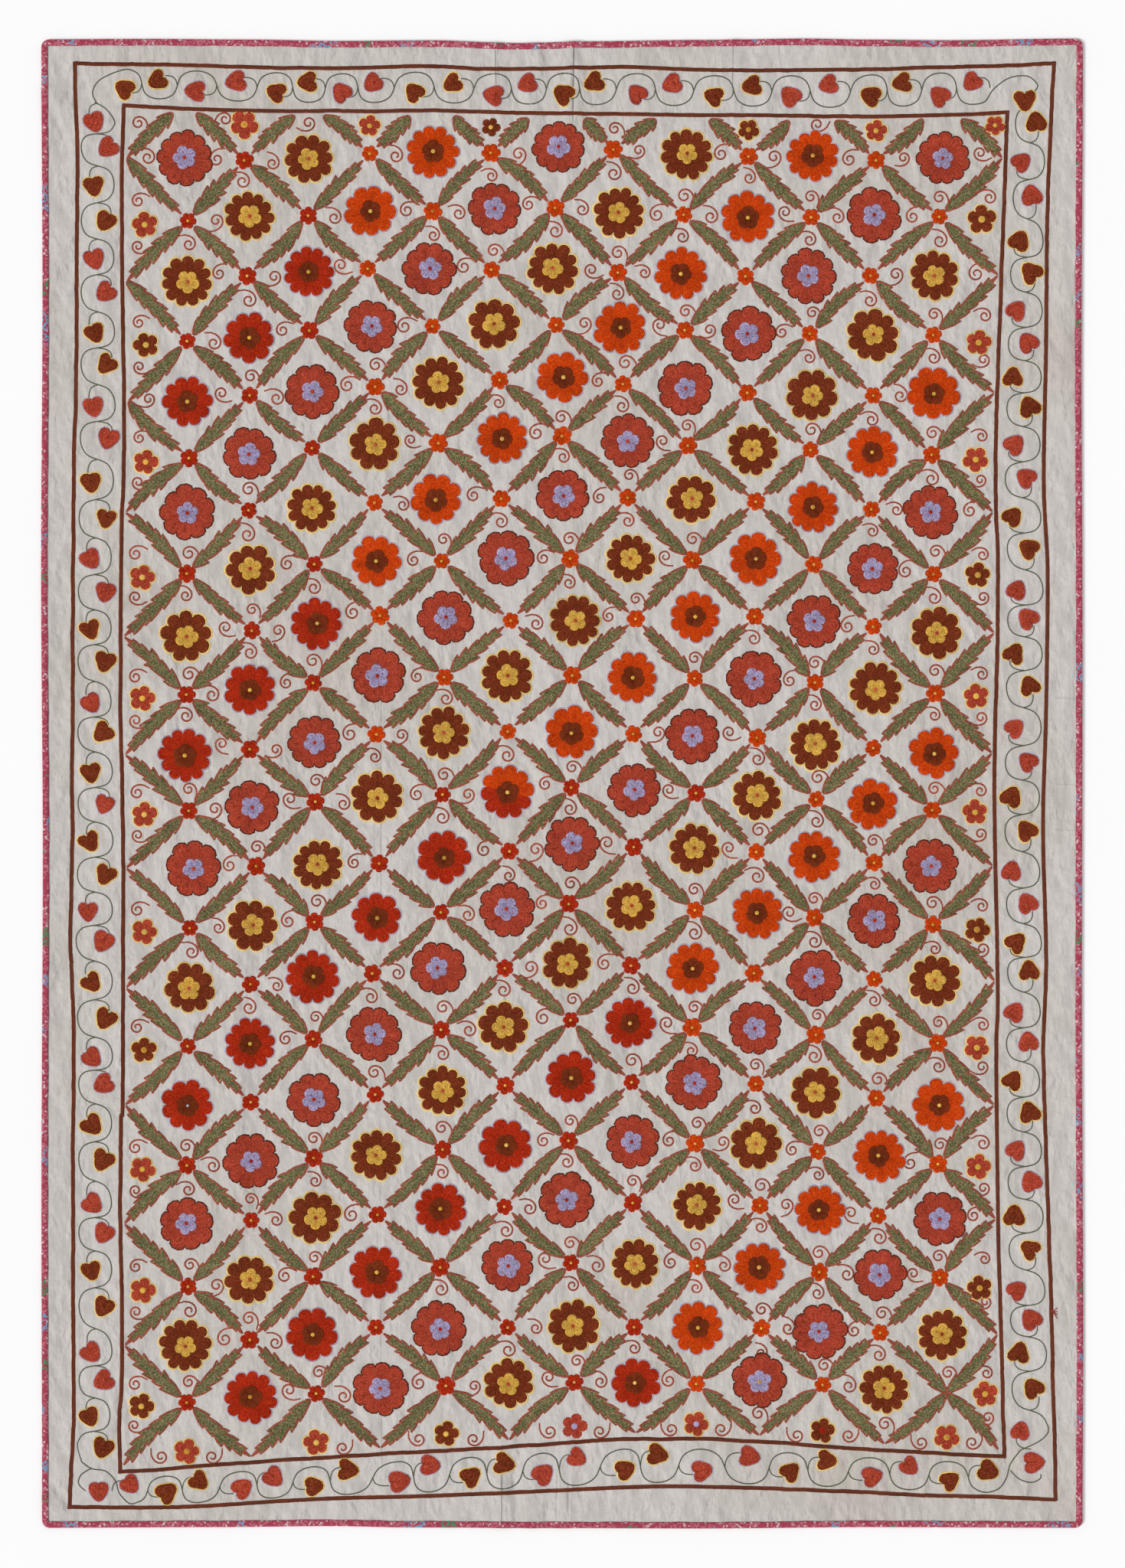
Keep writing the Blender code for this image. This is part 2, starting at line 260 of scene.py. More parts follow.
class ClothSettings(bpy.types.PropertyGroup):
    width: length_property("Width", 1.500, "Width of the bound cloth")
    length: length_property("Length", 2.145, "Length of the bound cloth")
    thickness: length_property("Thickness", 0.0012, "Thickness of the ground cloth")
    cell: length_property("Cell", 0.009, "Spacing of the cloth's grid")
    slope_width: length_property("Edge slope", 0.035, "Width over which the edge climbs the binding")
    corner_radius: length_property("Corner radius", 0.011, "Radius of the sewn corners")
    cotton: colour_property("Cotton", dye(195, 189, 185), "Colour of the cotton")
    # Darker, warmer colour that the cotton takes in large soft blotches
    blotch: colour_property("Stain", dye(186, 179, 171), "Colour of its faint old marks")


class BindingSettings(bpy.types.PropertyGroup):
    width: length_property("Width", 0.0092, "Width of the leg that shows")
    thickness: length_property("Thickness", 0.001, "Thickness of the folded strip")
    gap: length_property("Gap", 0.0003, "Room between strip and cloth")
    rose: colour_property("Rose", dye(164, 64, 84), "Main colour of the print")
    pink: colour_property("Pink", dye(184, 104, 118), "Faded parts of the print")
    white: colour_property("White", dye(206, 176, 182), "White flecks of the print")
    blue: colour_property("Blue", dye(120, 148, 180), "Blue petals of the print")
    green: colour_property("Green", dye(90, 130, 95), "Leaves of the print")


class StitchSettings(bpy.types.PropertyGroup):
    row_width: length_property("Row width", 0.0030, "Width of a row of chain stitch")
    height: length_property("Height", 0.0006, "Height of a row's crest over the cloth")
    sink: length_property("Sink", 0.0002, "Depth of a row's edges in the cloth")
    stitch: length_property("Stitch", 0.0034, "Length of one chain stitch")
    step: length_property("Step", 0.006, "Spacing of the points along a long row")


class MotifSettings(bpy.types.PropertyGroup):
    flower_radius: length_property("Flower radius", 0.0385, "Radius of a large flower")
    centre_radius: length_property("Centre radius", 0.0162, "Radius of a large flower's centre")
    button_radius: length_property("Button radius", 0.0126, "Radius of the small round flowers")
    edge_radius: length_property("Edge flower radius", 0.0190, "Radius of the flowers by the frame")
    heart_radius: length_property("Heart radius", 0.0160, "Radius of the border's hearts")
    leaf_width: length_property("Leaf width", 0.0102, "Width of a leaf without its teeth")
    tooth: length_property("Tooth", 0.0068, "How far a leaf's teeth stand out")
    leaf_line: length_property("Leaf line", 0.0031, "Width of the row round a leaf")
    curl_radius: length_property("Curl radius", 0.0103, "Radius of a curl")
    frame_width: length_property("Frame line", 0.0053, "Width of the brown double lines")
    petals: IntProperty(name="Petals", description="Usual number of petals", default=10, min=5, max=16)
    petal_rows: IntProperty(name="Petal rows", description="Nested rows in a petal", default=4, min=1,
                            max=6)


class ThreadSettings(bpy.types.PropertyGroup):
    crimson: colour_property("Crimson", dye(160, 60, 42), "Brick-red petals")
    brown: colour_property("Brown", dye(110, 44, 22), "Brown petals")
    orange: colour_property("Orange", dye(187, 57, 9), "Orange petals")
    red: colour_property("Red", dye(160, 38, 14), "Deep red petals and buttons")
    lavender: colour_property("Lavender", dye(151, 143, 174), "Flower centres and thin outlines")
    pale_lavender: colour_property("Pale lavender", dye(164, 154, 172), "Outline of orange flowers")
    yellow: colour_property("Yellow", dye(199, 155, 64), "Centres and outlines of brown flowers")
    pale_yellow: colour_property("Pale yellow", dye(215, 184, 106), "Halo of the brown flowers")
    dark_brown: colour_property("Dark brown", dye(84, 36, 24), "Outline of brick-red flowers")
    centre_brown: colour_property("Centre brown", dye(108, 44, 20), "Centres of orange flowers")
    rust: colour_property("Rust", dye(146, 70, 54), "Leaf outlines and curls")
    green: colour_property("Green", dye(102, 95, 62), "Leaves")
    vine: colour_property("Vine", dye(90, 93, 76), "Vine of the border")
    frame: colour_property("Frame", dye(98, 50, 34), "Lines of the frame")


class StageSettings(bpy.types.PropertyGroup):
    floor: colour_property("Floor", (0.93, 0.93, 0.93), "Colour of the floor")
    lens: FloatProperty(name="Lens", description="Focal length", default=85.0, unit="CAMERA", min=20.0)
    height: length_property("Camera height", 5.333, "Height of the camera over the floor")
    sky: FloatProperty(name="Sky", description="Brightness of the even light", default=0.60, min=0.0)
    lamp: FloatProperty(name="Lamp", description="Strength of the soft lamp", default=2.3, min=0.0)


class SuzaniSettings(bpy.types.PropertyGroup):
    seed: IntProperty(name="Seed", description="Seed of the hand-made unevenness", default=7, min=0)
    cloth: PointerProperty(type=ClothSettings, name="Cloth", description="Sizes of the cloth")
    binding: PointerProperty(type=BindingSettings, name="Binding", description="The edge strip")
    stitch: PointerProperty(type=StitchSettings, name="Stitch", description="Rows of chain stitch")
    motif: PointerProperty(type=MotifSettings, name="Motifs", description="Sizes of the motifs")
    thread: PointerProperty(type=ThreadSettings, name="Threads", description="Colours of thread")
    stage: PointerProperty(type=StageSettings, name="Stage", description="Floor, light and camera")


class Value:
    """A shader socket that can stand in a sum."""

    def __init__(self, tree, socket):
        self.tree = tree
        self.socket = socket

    def maths(self, operation, *others, clamp=False):
        node = self.tree.nodes.new("ShaderNodeMath")
        node.operation = operation
        node.use_clamp = clamp
        for place_in, item in enumerate((self, *others)):
            feed(self.tree, node.inputs[place_in], item)
        return Value(self.tree, node.outputs[0])

    def __add__(self, other):
        return self.maths("ADD", other)

    def __sub__(self, other):
        return self.maths("SUBTRACT", other)

    def __rsub__(self, other):
        return (self * -1.0) + other

    def __mul__(self, other):
        return self.maths("MULTIPLY", other)

    def __truediv__(self, other):
        return self.maths("DIVIDE", other)

    __radd__ = __add__
    __rmul__ = __mul__

    def fract(self):
        return self.maths("FRACT")

    def size(self):
        return self.maths("ABSOLUTE")

    def over(self, level):
        return self.maths("GREATER_THAN", level)

    def ramp(self, low, high):
        """0 at low and 1 at high, smooth between."""
        node = self.tree.nodes.new("ShaderNodeMapRange")
        node.interpolation_type = "SMOOTHSTEP"
        for key, item in (("Value", self), ("From Min", low), ("From Max", high)):
            feed(self.tree, node.inputs[key], item)
        return Value(self.tree, node.outputs[0])


def feed(tree, socket, item):
    """Link a value to a socket, or set the socket to a number or a tuple."""
    if isinstance(item, Value):
        tree.links.new(item.socket, socket)
    elif isinstance(item, (int, float)) and socket.type in ("RGBA", "VECTOR"):
        socket.default_value = (item,) * len(socket.default_value)
    elif socket.type == "RGBA" and len(item) == 3:
        socket.default_value = (*item, 1.0)
    else:
        socket.default_value = item


# Specular level of wool and cotton, which hardly shine
CLOTH_SHINE = 0.05


class Board:
    """One material and its nodes."""

    def __init__(self, name):
        self.material = bpy.data.materials.new(name)
        self.material.use_nodes = True
        self.tree = self.material.node_tree
        self.shader = self.tree.nodes["Principled BSDF"]

    def node(self, kind, settings=None, inputs=None, output=0):
        """Add a node: its settings first, then its sockets. Returns one output."""
        node = self.tree.nodes.new(kind)
        for key, item in (settings or {}).items():
            setattr(node, key, item)
        for key, item in (inputs or {}).items():
            feed(self.tree, node.inputs[key], item)
        return Value(self.tree, node.outputs[output])

    def mix(self, factor, first, second):
        """Blend two colours."""
        return self.node("ShaderNodeMix", {"data_type": "RGBA"}, {0: factor, 6: first, 7: second}, 2)

    def shade(self, colour, factor):
        """Multiply a colour by a grey factor."""
        grey = self.node("ShaderNodeCombineColor", None, {0: factor, 1: factor, 2: factor})
        settings = {"data_type": "RGBA", "blend_type": "MULTIPLY"}
        return self.node("ShaderNodeMix", settings, {0: 1.0, 6: colour, 7: grey}, 2)

    def vector(self, x, y, z):
        return self.node("ShaderNodeCombineXYZ", None, {0: x, 1: y, 2: z})

    def split(self, vector):
        node = self.tree.nodes.new("ShaderNodeSeparateXYZ")
        feed(self.tree, node.inputs[0], vector)
        return [Value(self.tree, output) for output in node.outputs]

    def noise(self, place_in, scale, detail=2.0, roughness=0.5):
        inputs = {"Vector": place_in, "Scale": scale, "Detail": detail, "Roughness": roughness}
        return self.node("ShaderNodeTexNoise", None, inputs)

    def position(self):
        return self.node("ShaderNodeTexCoord", output=3)

    def finish(self, colour, roughness, height, distance, strength=1.0, sheen=0.0):
        bump = self.node("ShaderNodeBump", None,
                         {"Height": height, "Distance": distance, "Strength": strength})
        feed(self.tree, self.shader.inputs["Base Color"], colour)
        feed(self.tree, self.shader.inputs["Roughness"], roughness)
        feed(self.tree, self.shader.inputs["Normal"], bump)
        feed(self.tree, self.shader.inputs["Sheen Weight"], sheen)
        feed(self.tree, self.shader.inputs["Specular IOR Level"], CLOTH_SHINE)
        return self.material


def thread_material(name, colour, strands, settings):
    """Chain stitch in wool: raised loops, painted shade between rows, painted light on loop middles,
    uneven dye.
    """
    board = Board(name)
    marks = board.node("ShaderNodeAttribute", {"attribute_name": "stitch"}, output=1)
    along, across, chance = board.split(marks)
    turn = along / settings.stitch.stitch + across.size() * 0.45 + chance * 7.0
    loop = turn.fract()
    cell = {"Vector": board.vector(turn - loop, across.over(0.0), chance * 900.0)}
    own = board.node("ShaderNodeTexWhiteNoise", {"noise_dimensions": "3D"}, cell)
    round_loop = 1.0 - (loop * 2.0 - 1.0) * (loop * 2.0 - 1.0)
    crown = 1.0 - across * across
    where = board.position()
    dye_noise = board.noise(where, 34.0, 3.0, 0.6)
    fine = board.noise(where, 420.0, 2.0, 0.6)
    # Painted shade and light: crown * 0.10 darkens each row towards its edges, a dark line between rows,
    # and round_loop * 0.08 lightens the middle of each loop. The other terms are uneven dye.
    tone = 0.84 + (chance - 0.5) * 0.224 + (dye_noise - 0.5) * 0.384
    tone = tone + (fine - 0.5) * 0.60 + (own - 0.5) * 0.24 + crown * 0.10 + round_loop * 0.08
    base = board.mix(dye_noise.ramp(0.35, 0.70), colour, tuple(min(v * 1.12, 1.0) for v in colour))
    if strands:
        dark, light = strands
        strand = board.noise(board.vector(along * 420.0, across * 1.6, chance * 90.0), 1.0, 1.0)
        base = board.mix(strand.ramp(0.50, 0.66) * 0.9, base, light)
        base = board.mix(strand.ramp(0.47, 0.36) * 0.9, base, dark)
    height = crown * 0.25 + round_loop * 0.35 + fine * 0.35
    return board.finish(board.shade(base, tone), 0.9, height, 0.0007, 0.9)


# Lines in the weave and creases too fine for the cloth's grid
# start x, start y, end x, end y, width: metres; height: millimetres
FINE_CREASES = (
    (-0.260, 0.340, -0.261, -0.420, 0.0007, -0.30), (-0.262, -0.600, -0.259, -1.062, 0.0007, -0.30),
    (0.700, 0.122, 0.742, 0.121, 0.004, 0.8), (0.702, -0.002, 0.742, -0.003, 0.003, 0.7),
    (0.702, -0.068, 0.742, -0.069, 0.004, 0.8), (-0.096, 1.062, -0.092, 0.985, 0.005, 1.0),
    (-0.047, 1.062, -0.049, 0.975, 0.005, 0.9), (0.018, 1.062, 0.015, 0.950, 0.006, -1.1),
    (-0.067, -1.066, -0.068, -0.960, 0.009, -1.4), (-0.008, -1.066, -0.006, -0.985, 0.003, -0.8),
    (0.009, -1.066, 0.010, -0.990, 0.003, -0.7), (0.505, 0.578, 0.520, 0.566, 0.006, -1.2),
    (-0.555, 0.572, -0.530, 0.590, 0.006, -1.1), (0.188, 0.470, 0.240, 0.460, 0.004, 0.6),
    (-0.738, 0.980, -0.705, 0.900, 0.010, -1.4), (-0.738, -1.000, -0.700, -1.055, 0.010, -1.4),
    (0.150, -0.541, 0.210, -0.543, 0.004, -0.9), (0.330, -0.800, 0.352, -0.830, 0.008, -1.2),
    (-0.097, 1.100, -0.094, 0.960, 0.0016, -0.45), (0.018, 1.100, 0.015, 0.930, 0.0018, -0.50),
    (-0.087, -1.095, -0.086, -0.930, 0.0016, -0.40), (0.247, 1.100, 0.245, 0.980, 0.0014, -0.30),
)
# A crease narrower than this is drawn darker too: a real line in the weave, and along the folds painted
# shade with a real brownish mark
LINE_WIDTH = 0.002


def crease_value(x, y, crease):
    """Cross-section of one fine crease as a shader value."""
    x1, y1, x2, y2, width, height = crease
    length = math.hypot(x2 - x1, y2 - y1)
    ux, uy = (x2 - x1) / length, (y2 - y1) / length
    place_on = x * ux + y * uy - (x1 * ux + y1 * uy)
    off = (x * uy - y * ux - (x1 * uy - y1 * ux)).size()
    ends = place_on.ramp(0.0, 0.3 * length) * (1.0 - place_on.ramp(0.7 * length, length))
    return (1.0 - off.ramp(0.0, width)) * ends * height


def cotton_material(settings):
    """Plain-woven cotton with slubs, old creases and puckers round the stitching."""
    board = Board("cotton")
    cloth = settings.cloth
    where = board.position()
    x, y, z = board.split(where)
    warp = board.noise(board.vector(x * 900.0, y * 60.0, 0.0), 1.0, 1.0)
    weft = board.noise(board.vector(x * 60.0, y * 900.0, 4.0), 1.0, 1.0)
    rumple = board.noise(board.vector(x * 13.0, y * 7.0, 1.0), 1.0, 3.0, 0.55)
    pucker = board.noise(board.vector(x * 60.0, y * 36.0, 2.0), 1.0, 2.0, 0.5)
    bent = (pucker - 0.5) * 0.03
    cells = {"Vector": board.vector(x * 1.5 + bent, y + bent, 0.0), "Scale": 26.0, "Smoothness": 0.35}
    facet = board.node("ShaderNodeTexVoronoi", {"feature": "SMOOTH_F1"}, cells)
    shade = board.noise(where, 2.6, 3.0, 0.55)
    mottle = board.noise(where, 90.0, 3.0, 0.65)
    parts = [crease_value(x, y, crease) for crease in FINE_CREASES]
    creases = sum(parts[1:], parts[0])
    # lines darkens the cotton along the narrowest creases: a real weave line, and along the folds painted
    # shade with a real brownish mark.
    lines = [part for part, crease in zip(parts, FINE_CREASES) if crease[4] < LINE_WIDTH]
    lines = sum(lines[1:], lines[0])
    # The cotton turns darker and warmer in large soft blotches.
    colour = board.mix(shade.ramp(0.42, 0.75), cloth.cotton[:], cloth.blotch[:])
    # (pucker - 0.5) * 0.08 is painted shade and light: lighter on the tops of the bump's puckers, darker
    # in their hollows.
    tone = 1.0 + (warp - 0.5) * 0.16 + (weft - 0.5) * 0.16 + (mottle - 0.5) * 0.20
    tone = tone + (pucker - 0.5) * 0.08 + lines * 1.2
    height = rumple * 10.0 + pucker * 4.5 + facet * 3.2 + creases + (warp + weft) * 0.22
    return board.finish(board.shade(colour, tone), 0.92, height, 0.001, 1.0, 0.05)


def print_material(settings):
    """The binding's flower print, in faded rose with white, blue and green."""
    board = Board("printed_cotton")
    print_colours = settings.binding
    where = board.position()
    x, y, z = board.split(where)
    runs = board.noise(board.vector(x * 16.0, y * 16.0, 3.0), 1.0, 2.0)
    cells = {"Vector": where, "Scale": 380.0}
    spot = board.split(board.node("ShaderNodeTexVoronoi", None, cells, 1))
    colour = print_colours.rose[:]
    for share, dyed in ((spot[0].over(0.62), print_colours.pink),
                        (spot[1].over(0.93), print_colours.white),
                        (spot[2].over(0.60) * runs.over(0.60), print_colours.blue),
                        (spot[0].over(0.55) * (1.0 - runs).over(0.63), print_colours.green)):
        colour = board.mix(share, colour, dyed[:])
    fade = board.noise(where, 240.0, 2.0)
    weave = board.noise(board.vector(x * 900.0, y * 900.0, 0.0), 1.0, 1.0)
    tone = 0.92 + (fade - 0.5) * 0.3
    height = board.noise(where, 90.0, 2.0) * 0.8 + weave * 0.2
    return board.finish(board.shade(colour, tone), 0.85, height, 0.0008, 0.8, 0.05)


def floor_material(settings):
    board = Board("floor")
    where = board.position()
    grain = board.noise(where, 3.0, 2.0)
    tone = 0.99 + grain * 0.02
    return board.finish(board.shade(settings.stage.floor[:], tone), 0.9, grain, 0.0001, 0.1)


def place(px, py):
    """Metres from photo pixels."""
    return np.array(((px - MIDDLE_PIXEL[0]) * METRES_PER_PIXEL,
                     (MIDDLE_PIXEL[1] - py) * METRES_PER_PIXEL))


def smooth_step(t):
    t = np.clip(t, 0.0, 1.0)
    return t * t * (3.0 - 2.0 * t)


def inset(side, along):
    """How far an edge lies in from its straight line, in metres."""
    rows = np.array(EDGE_INSETS[side])
    along = np.clip(along, rows[0, 0], rows[-1, 0])
    k = np.clip(np.searchsorted(rows[:, 0], along, side="right") - 1, 0, len(rows) - 2)
    t = smooth_step((along - rows[k, 0]) / (rows[k + 1, 0] - rows[k, 0]))
    return (rows[k, 1] + (rows[k + 1, 1] - rows[k, 1]) * t) / 1000


def wander(x, y, cloth):
    """Move points near an edge in with that edge."""
    half_x = cloth.width / 2 - cloth.corner_radius - 1e-6
    half_y = cloth.length / 2 - cloth.corner_radius - 1e-6
    moved_x = x + inset("left", y) * (x <= -half_x) - inset("right", y) * (x >= half_x)
    moved_y = y + inset("bottom", x) * (y <= -half_y) - inset("top", x) * (y >= half_y)
    return moved_x, moved_y


def lift(x, y, cloth):
    """Height of the cloth's underside off the floor, level across the binding."""
    x = np.clip(x, cloth.corner_radius - cloth.width / 2, cloth.width / 2 - cloth.corner_radius)
    y = np.clip(y, cloth.corner_radius - cloth.length / 2, cloth.length / 2 - cloth.corner_radius)
    highest = np.zeros(np.broadcast(x, y).shape)
    for x1, y1, x2, y2, half_width, height in FOLDS:
        length = math.hypot(x2 - x1, y2 - y1)
        on = ((x - x1) * (x2 - x1) + (y - y1) * (y2 - y1)) / length
        off = np.abs((x - x1) * (y2 - y1) - (y - y1) * (x2 - x1)) / length
        ends = smooth_step((on + half_width) / (2 * half_width))
        ends = ends * smooth_step((length - on + half_width) / (2 * half_width))
        ridge = 0.5 * (1 + np.cos(np.pi * np.minimum(off / half_width, 1.0)))
        highest = np.maximum(highest, height / 1000 * ends * ridge)
    return highest


def ripple(x, y):
    """Slight waves of a cloth that has been folded away, none at its edges."""
    waves = np.sin(x * 23 + 2.1 * np.sin(y * 5 + 1)) * np.sin(y * 17 + 1.7 * np.sin(x * 6))
    waves = waves + 0.6 * np.sin(x * 61 + y * 12) * np.sin(y * 47 - x * 9)
    return 0.00035 * (waves + 1.6)


def edge_fade(x, y, cloth):
    """1 at the binding, 0 where the cloth lies free."""
    inward = np.minimum(cloth.width / 2 - np.abs(x), cloth.length / 2 - np.abs(y))
    return 1.0 - smooth_step((inward - cloth.corner_radius) / cloth.slope_width)


class Surface:
    """Top of the ground cloth: heights on a grid, read anywhere between its points."""

    def __init__(self, settings):
        cloth, binding = settings.cloth, settings.binding
        self.xs = self.lines(cloth.width / 2, cloth, binding)
        self.ys = self.lines(cloth.length / 2, cloth, binding)
        self.x, self.y = np.meshgrid(self.xs, self.ys)
        fade = edge_fade(self.x, self.y, cloth)
        under = lift(self.x, self.y, cloth) + (binding.thickness + binding.gap) * fade
        self.under = under + ripple(self.x, self.y) * (1.0 - fade)
        self.top = self.under + cloth.thickness

    def lines(self, half, cloth, binding):
        straight = half - cloth.corner_radius
        outer = half - binding.thickness - binding.gap
        inner = np.linspace(-straight, straight, round(2 * straight / cloth.cell) + 1)
        middle = (straight + outer) / 2
        return np.concatenate(([-outer, -middle], inner, [middle, outer]))

    def at(self, x, y):
        i = np.clip(np.searchsorted(self.xs, x) - 1, 0, len(self.xs) - 2)
        j = np.clip(np.searchsorted(self.ys, y) - 1, 0, len(self.ys) - 2)
        s = (x - self.xs[i]) / (self.xs[i + 1] - self.xs[i])
        t = (y - self.ys[j]) / (self.ys[j + 1] - self.ys[j])
        low = self.top[j, i] * (1 - s) + self.top[j, i + 1] * s
        high = self.top[j + 1, i] * (1 - s) + self.top[j + 1, i + 1] * s
        return low * (1 - t) + high * t


def make_object(name, points, faces, material, marks=None, planar=False):
    """One mesh object that rides on the part's body. faces is a list of index arrays."""
    mesh = bpy.data.meshes.new(name)
    sizes = np.concatenate([np.full(len(part), part.shape[1]) for part in faces])
    corners = np.concatenate([part.ravel() for part in faces])
    mesh.vertices.add(len(points))
    mesh.vertices.foreach_set("co", np.asarray(points, np.float32).ravel())
    mesh.loops.add(len(corners))
    mesh.loops.foreach_set("vertex_index", corners.astype(np.int32))
    mesh.polygons.add(len(sizes))
    starts = np.concatenate(([0], np.cumsum(sizes)[:-1]))
    mesh.polygons.foreach_set("loop_start", starts.astype(np.int32))
    mesh.polygons.foreach_set("use_smooth", np.ones(len(sizes), bool))
    if marks is not None:
        attribute = mesh.attributes.new("stitch", "FLOAT_VECTOR", "POINT")
        attribute.data.foreach_set("vector", np.asarray(marks, np.float32).ravel())
    if planar:
        layer = mesh.uv_layers.new(name="OFBake")
        flat = np.asarray(points)[:, :2]
        low, high = flat.min(0), flat.max(0)
        flat = 0.01 + 0.98 * (flat - low) / (high - low).max()
        layer.data.foreach_set("uv", flat[corners].astype(np.float32).ravel())
    mesh.update(calc_edges=True)
    mesh.validate()
    obj = bpy.data.objects.new(name, mesh)
    bpy.context.scene.collection.objects.link(obj)
    mesh.materials.append(material)
    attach(obj, "root")
    return obj


KNOT_SIDES = 8


class Thread:
    """Rows of chain stitch and small knots in one thread, gathered into one mesh."""

    def __init__(self, surface, settings, seed):
        self.surface = surface
        self.stitch = settings.stitch
        self.random = np.random.default_rng(settings.seed * 1000 + seed)
        self.points, self.marks, self.quads, self.triangles = [], [], [], []
        self.count = 0

    def row(self, path, width, raised=0.0, closed=False):
        """A row of stitches along a path of (x, y) points."""
        path = np.asarray(path, float)
        count = len(path)
        if closed:
            ahead = np.roll(path, -1, 0) - np.roll(path, 1, 0)
            steps = np.linalg.norm(np.roll(path, -1, 0) - path, axis=1)
            along = np.concatenate(([0.0], np.cumsum(steps)[:-1]))
        else:
            ahead = np.gradient(path, axis=0)
            along = np.concatenate(([0.0], np.cumsum(np.linalg.norm(np.diff(path, axis=0), axis=1))))
        ahead = ahead / np.maximum(np.linalg.norm(ahead, axis=1, keepdims=True), 1e-9)
        aside = np.stack((-ahead[:, 1], ahead[:, 0]), 1)
        half = np.broadcast_to(np.asarray(width, float) / 2, (count,))[:, None]
        strips = np.stack((path + aside * half, path, path - aside * half), 1)
        crest = self.stitch.height * np.minimum(half[:, 0] * 2 / self.stitch.row_width, 1.0) ** 0.5
        rise = np.stack((np.full(count, -self.stitch.sink), crest, np.full(count, -self.stitch.sink)), 1)
        heights = self.surface.at(strips[..., 0], strips[..., 1]) + rise + raised
        self.points.append(np.concatenate((strips, heights[..., None]), 2).reshape(-1, 3))
        chance = self.random.random()
        mark = np.empty((count, 3, 3))
        mark[..., 0] = along[:, None]
        mark[..., 1] = (-1.0, 0.0, 1.0)
        mark[..., 2] = chance
        self.marks.append(mark.reshape(-1, 3))
        k = np.arange(count if closed else count - 1)
        n = (k + 1) % count
        k, n = self.count + 3 * k, self.count + 3 * n
        self.quads.append(np.stack((k, k + 1, n + 1, n), 1))
        self.quads.append(np.stack((k + 1, k + 2, n + 2, n + 1), 1))
        self.count += 3 * count

    def knot(self, centre, radius, raised=0.0):
        """A small round of stitches."""
        k = np.arange(KNOT_SIDES)
        n = (k + 1) % KNOT_SIDES
        inner = 1 + KNOT_SIDES
        turns = k * math.tau / KNOT_SIDES
        ring = np.stack((np.cos(turns), np.sin(turns)), 1)
        flat = np.concatenate(([centre], centre + ring * radius * 0.55, centre + ring * radius))
        height = self.surface.at(flat[:, 0], flat[:, 1]) + raised
        height[:inner] += self.stitch.height
        height[0] += self.stitch.height * 0.25
        height[inner:] -= self.stitch.sink
        self.points.append(np.concatenate((flat, height[:, None]), 1))
        mark = np.zeros((len(flat), 3))
        mark[inner:, 1] = 1.0
        mark[:, 0] = radius
        mark[:, 2] = self.random.random()
        self.marks.append(mark)
        self.triangles.append(self.count + np.stack((k * 0, 1 + k, 1 + n), 1))
        self.quads.append(self.count + np.stack((1 + k, inner + k, inner + n, 1 + n), 1))
        self.count += len(flat)

    def build(self, name, material):
        faces = [np.concatenate(self.quads)]
        if self.triangles:
            faces.append(np.concatenate(self.triangles))
        return make_object(name, np.concatenate(self.points), faces, material,
                           np.concatenate(self.marks), planar=True)


# Spacing of the points on a petal's straight legs
LEG_STEP = 0.009
# Height that keeps the edges of filling rows clear of the cloth, and of the lines round leaves
FILL_RISE = 0.0005
LINE_RISE = 0.0006


class Bloom:
    """A round flower of scalloped petals: its own uneven angles and reaches, for rows and outline."""

    def __init__(self, centre, radius, petals, notch, random):
        self.centre = np.asarray(centre)
        self.radius = radius
        self.notch = notch
        gaps = 1.0 + 0.16 * (random.random(petals) - 0.5)
        edges = np.concatenate(([0.0], np.cumsum(gaps))) / gaps.sum() * math.tau
        edges = edges + random.random() * math.tau
        self.middles = (edges[:-1] + edges[1:]) / 2
        self.halves = (edges[1:] - edges[:-1]) / 2
        self.reaches = radius * (1.0 + 0.09 * (random.random(petals) - 0.5))

    def points(self, angle, reach):
        return self.centre + np.stack((np.cos(angle), np.sin(angle)), -1) * reach[..., None]

    def fill(self, thread_of, rows, inner, raised=0.0, stations=4):
        """Nested U-shaped rows in each petal. thread_of gives the thread of a petal by its angle."""
        turn = np.linspace(-math.pi / 2, math.pi / 2, 2 * stations - 1)
        for middle, half, reach in zip(self.middles, self.halves, self.reaches):
            thread = thread_of(middle)
            pitch = min(reach * half / rows, (reach - inner) / rows)
            for k in range(rows):
                share = 1.0 - (k + 0.5) / rows
                top = reach - (k + 0.5) * pitch
                bend = reach * (1.0 - self.notch) * share
                foot = top - bend
                arc_angle = middle + half * share * np.sin(turn)
                arc_reach = foot + bend * np.cos(turn)
                leg = np.linspace(inner, foot, 1 + max(1, round((foot - inner) / LEG_STEP)))[:-1]
                angle = np.concatenate((leg * 0 + arc_angle[0], arc_angle, leg * 0 + arc_angle[-1]))
                away = np.concatenate((leg, arc_reach, leg[::-1]))
                blend = np.concatenate((leg * 0, np.cos(turn) ** 2, leg * 0))
                spacing = half * away / rows
                width = 1.25 * (np.minimum(spacing, pitch * 1.1) * (1 - blend) + pitch * blend)
                thread.row(self.points(angle, away), width, FILL_RISE + raised)

    def outline(self, thread, width, beyond=0.0, raised=0.0, stations=5):
        """One closed row round the scallops."""
        turn = np.linspace(-math.pi / 2, math.pi / 2, stations + 1)[:-1]
        paths = []
        for k in range(len(self.middles)):
            valley = self.notch * (self.reaches[k] + self.reaches[k - 1]) / 2
            bend = self.reaches[k] - valley
            angle = self.middles[k] + self.halves[k] * np.sin(turn)
            paths.append(self.points(angle, valley + bend * np.cos(turn) + beyond))
        thread.row(np.concatenate(paths), width, raised, closed=True)


